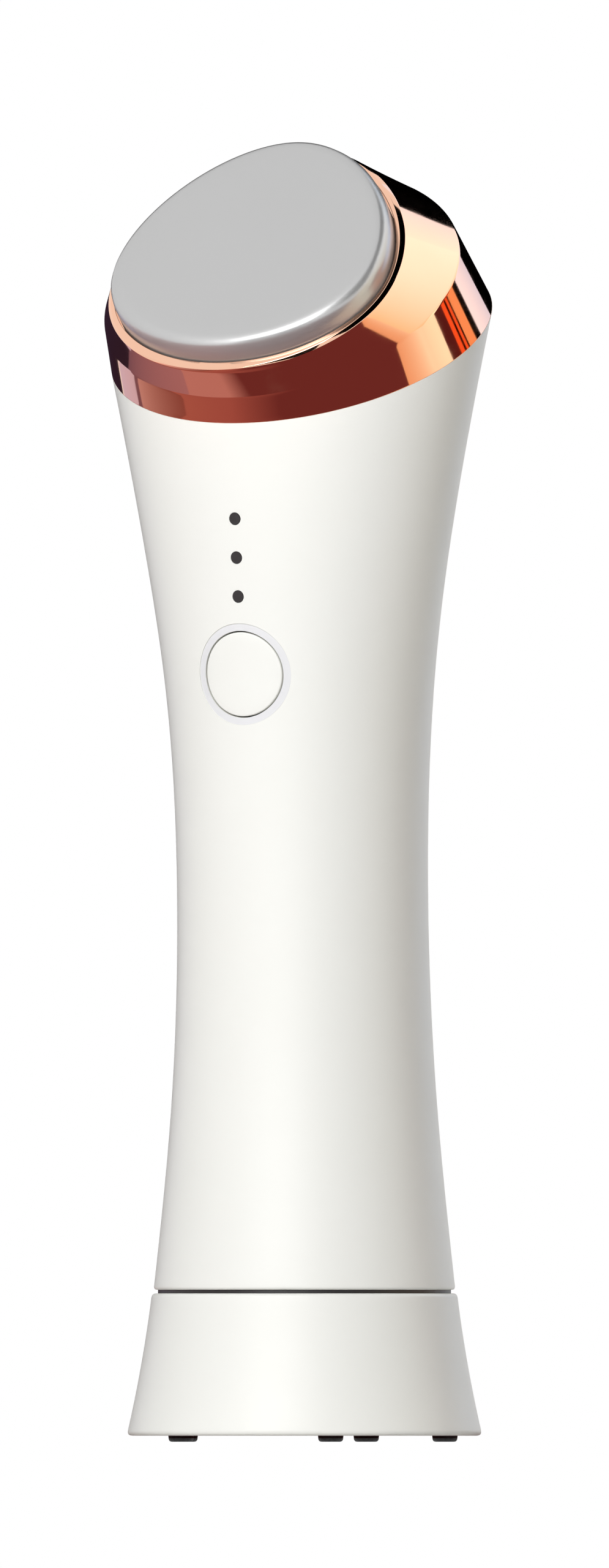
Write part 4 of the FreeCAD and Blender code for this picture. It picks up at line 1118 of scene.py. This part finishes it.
# name, azimuth and elevation in degrees, distance and size in metres, both colours, whether sideways
CARDS = (
    ("cream_card", 122, 21, 0.62, (1.1, 0.76), ("#FFEAC0", 1.12), (WHITE, 1.7)),
    ("pale_card", 110.5, -4, 0.57, (0.11, 0.16), CREAM, ("#FFFAE6", 1.7)),
    ("cool_card", 163, 5, 0.56, (0.3, 0.3), ("#DDE9FF", 1.7), ("#D6E1FF", 1.15), True),
    ("cool_top", 165, 38, 0.56, (0.25, 0.34), (WHITE, 1.57), ("#D3E6FF", 1.5), True),
    ("black_screen", 52, 38, 0.5, (0.5, 0.42), BLACK, BLACK),
    ("black_roof", 110, 70, 0.5, (0.46, 0.2), BLACK, BLACK),
    ("black_strip", 12, 0, 0.075, (0.05, 0.03), BLACK, BLACK),
    ("plum_screen", -143, -3, 0.5, (0.4, 0.26), PLUM, PLUM),
    ("pink_card", -111, -11.5, 0.48, (0.14, 0.11), LILAC, LILAC),
)
for row in CARDS:
    standing_card(*row)
print(len(CARDS), "cards stand round the ring")

# %% Rack of slats and black flag
RACK_DISTANCE = 0.55
RACK_ELEVATION = -0.5
SLAT_HEIGHT = 0.23
EMBER = ("#FF6531", 1.09)
# azimuths of both edges in degrees, and the colour
SLATS = (
    (116, 124, ("#592021", 1)),
    (124, 127.5, EMBER),
    (127.5, 129.3, BLACK),
    (129.3, 131.5, EMBER),
    (131.5, 133, BLACK),
    (133, 141.5, ("#FFAE77", 1.09)),
    (141.5, 148, BLACK),
)
for number, (start, end, tone) in enumerate(SLATS):
    width = 2 * RACK_DISTANCE * math.tan(math.radians(end - start) / 2)
    azimuth = (start + end) / 2
    size = (width, SLAT_HEIGHT)
    standing_card(f"slat_{number}", azimuth, RACK_ELEVATION, RACK_DISTANCE, size, tone, tone)

FLAG_AZIMUTH = 202
FLAG_DISTANCE = 0.3
FLAG_RISE = Vector((0, 0, 0.15))
FLAG_SIZE = (0.36, 0.27)
flag_place = toward(RING_MIDDLE, FLAG_AZIMUTH, 0, FLAG_DISTANCE) + FLAG_RISE
card("black_flag", flag_place, (math.pi / 2, 0, math.radians(FLAG_AZIMUTH)), FLAG_SIZE, BLACK, BLACK)
print(len(SLATS), "slats stand before the cream card, and a black flag at the back")

# %% [markdown]
# ## Camera
#
# The photograph looks level at the object, 27 degrees round to its right, from so far away that all lines
# that are parallel stay parallel. An orthographic camera shows just that, and its scale is the height of
# the frame.

# %% Camera
VIEW_AZIMUTH = 27
VIEW_DISTANCE = 3.0
FRAME_HEIGHT = 0.2176
FRAME_MIDDLE = Vector((0, 0, 0.09129))

eye = bpy.data.cameras.new("photograph")
eye.type = "ORTHO"
eye.ortho_scale = FRAME_HEIGHT
camera = bpy.data.objects.new("photograph", eye)
bpy.context.scene.collection.objects.link(camera)
camera.location = toward(FRAME_MIDDLE, VIEW_AZIMUTH, 0, VIEW_DISTANCE)
camera.rotation_euler = facing(camera.location, FRAME_MIDDLE)
bpy.context.scene.camera = camera
bpy.context.scene.view_settings.view_transform = "Standard"
print("frame of", round(FRAME_HEIGHT / MM, 1), "mm seen from", VIEW_AZIMUTH, "degrees to the right")
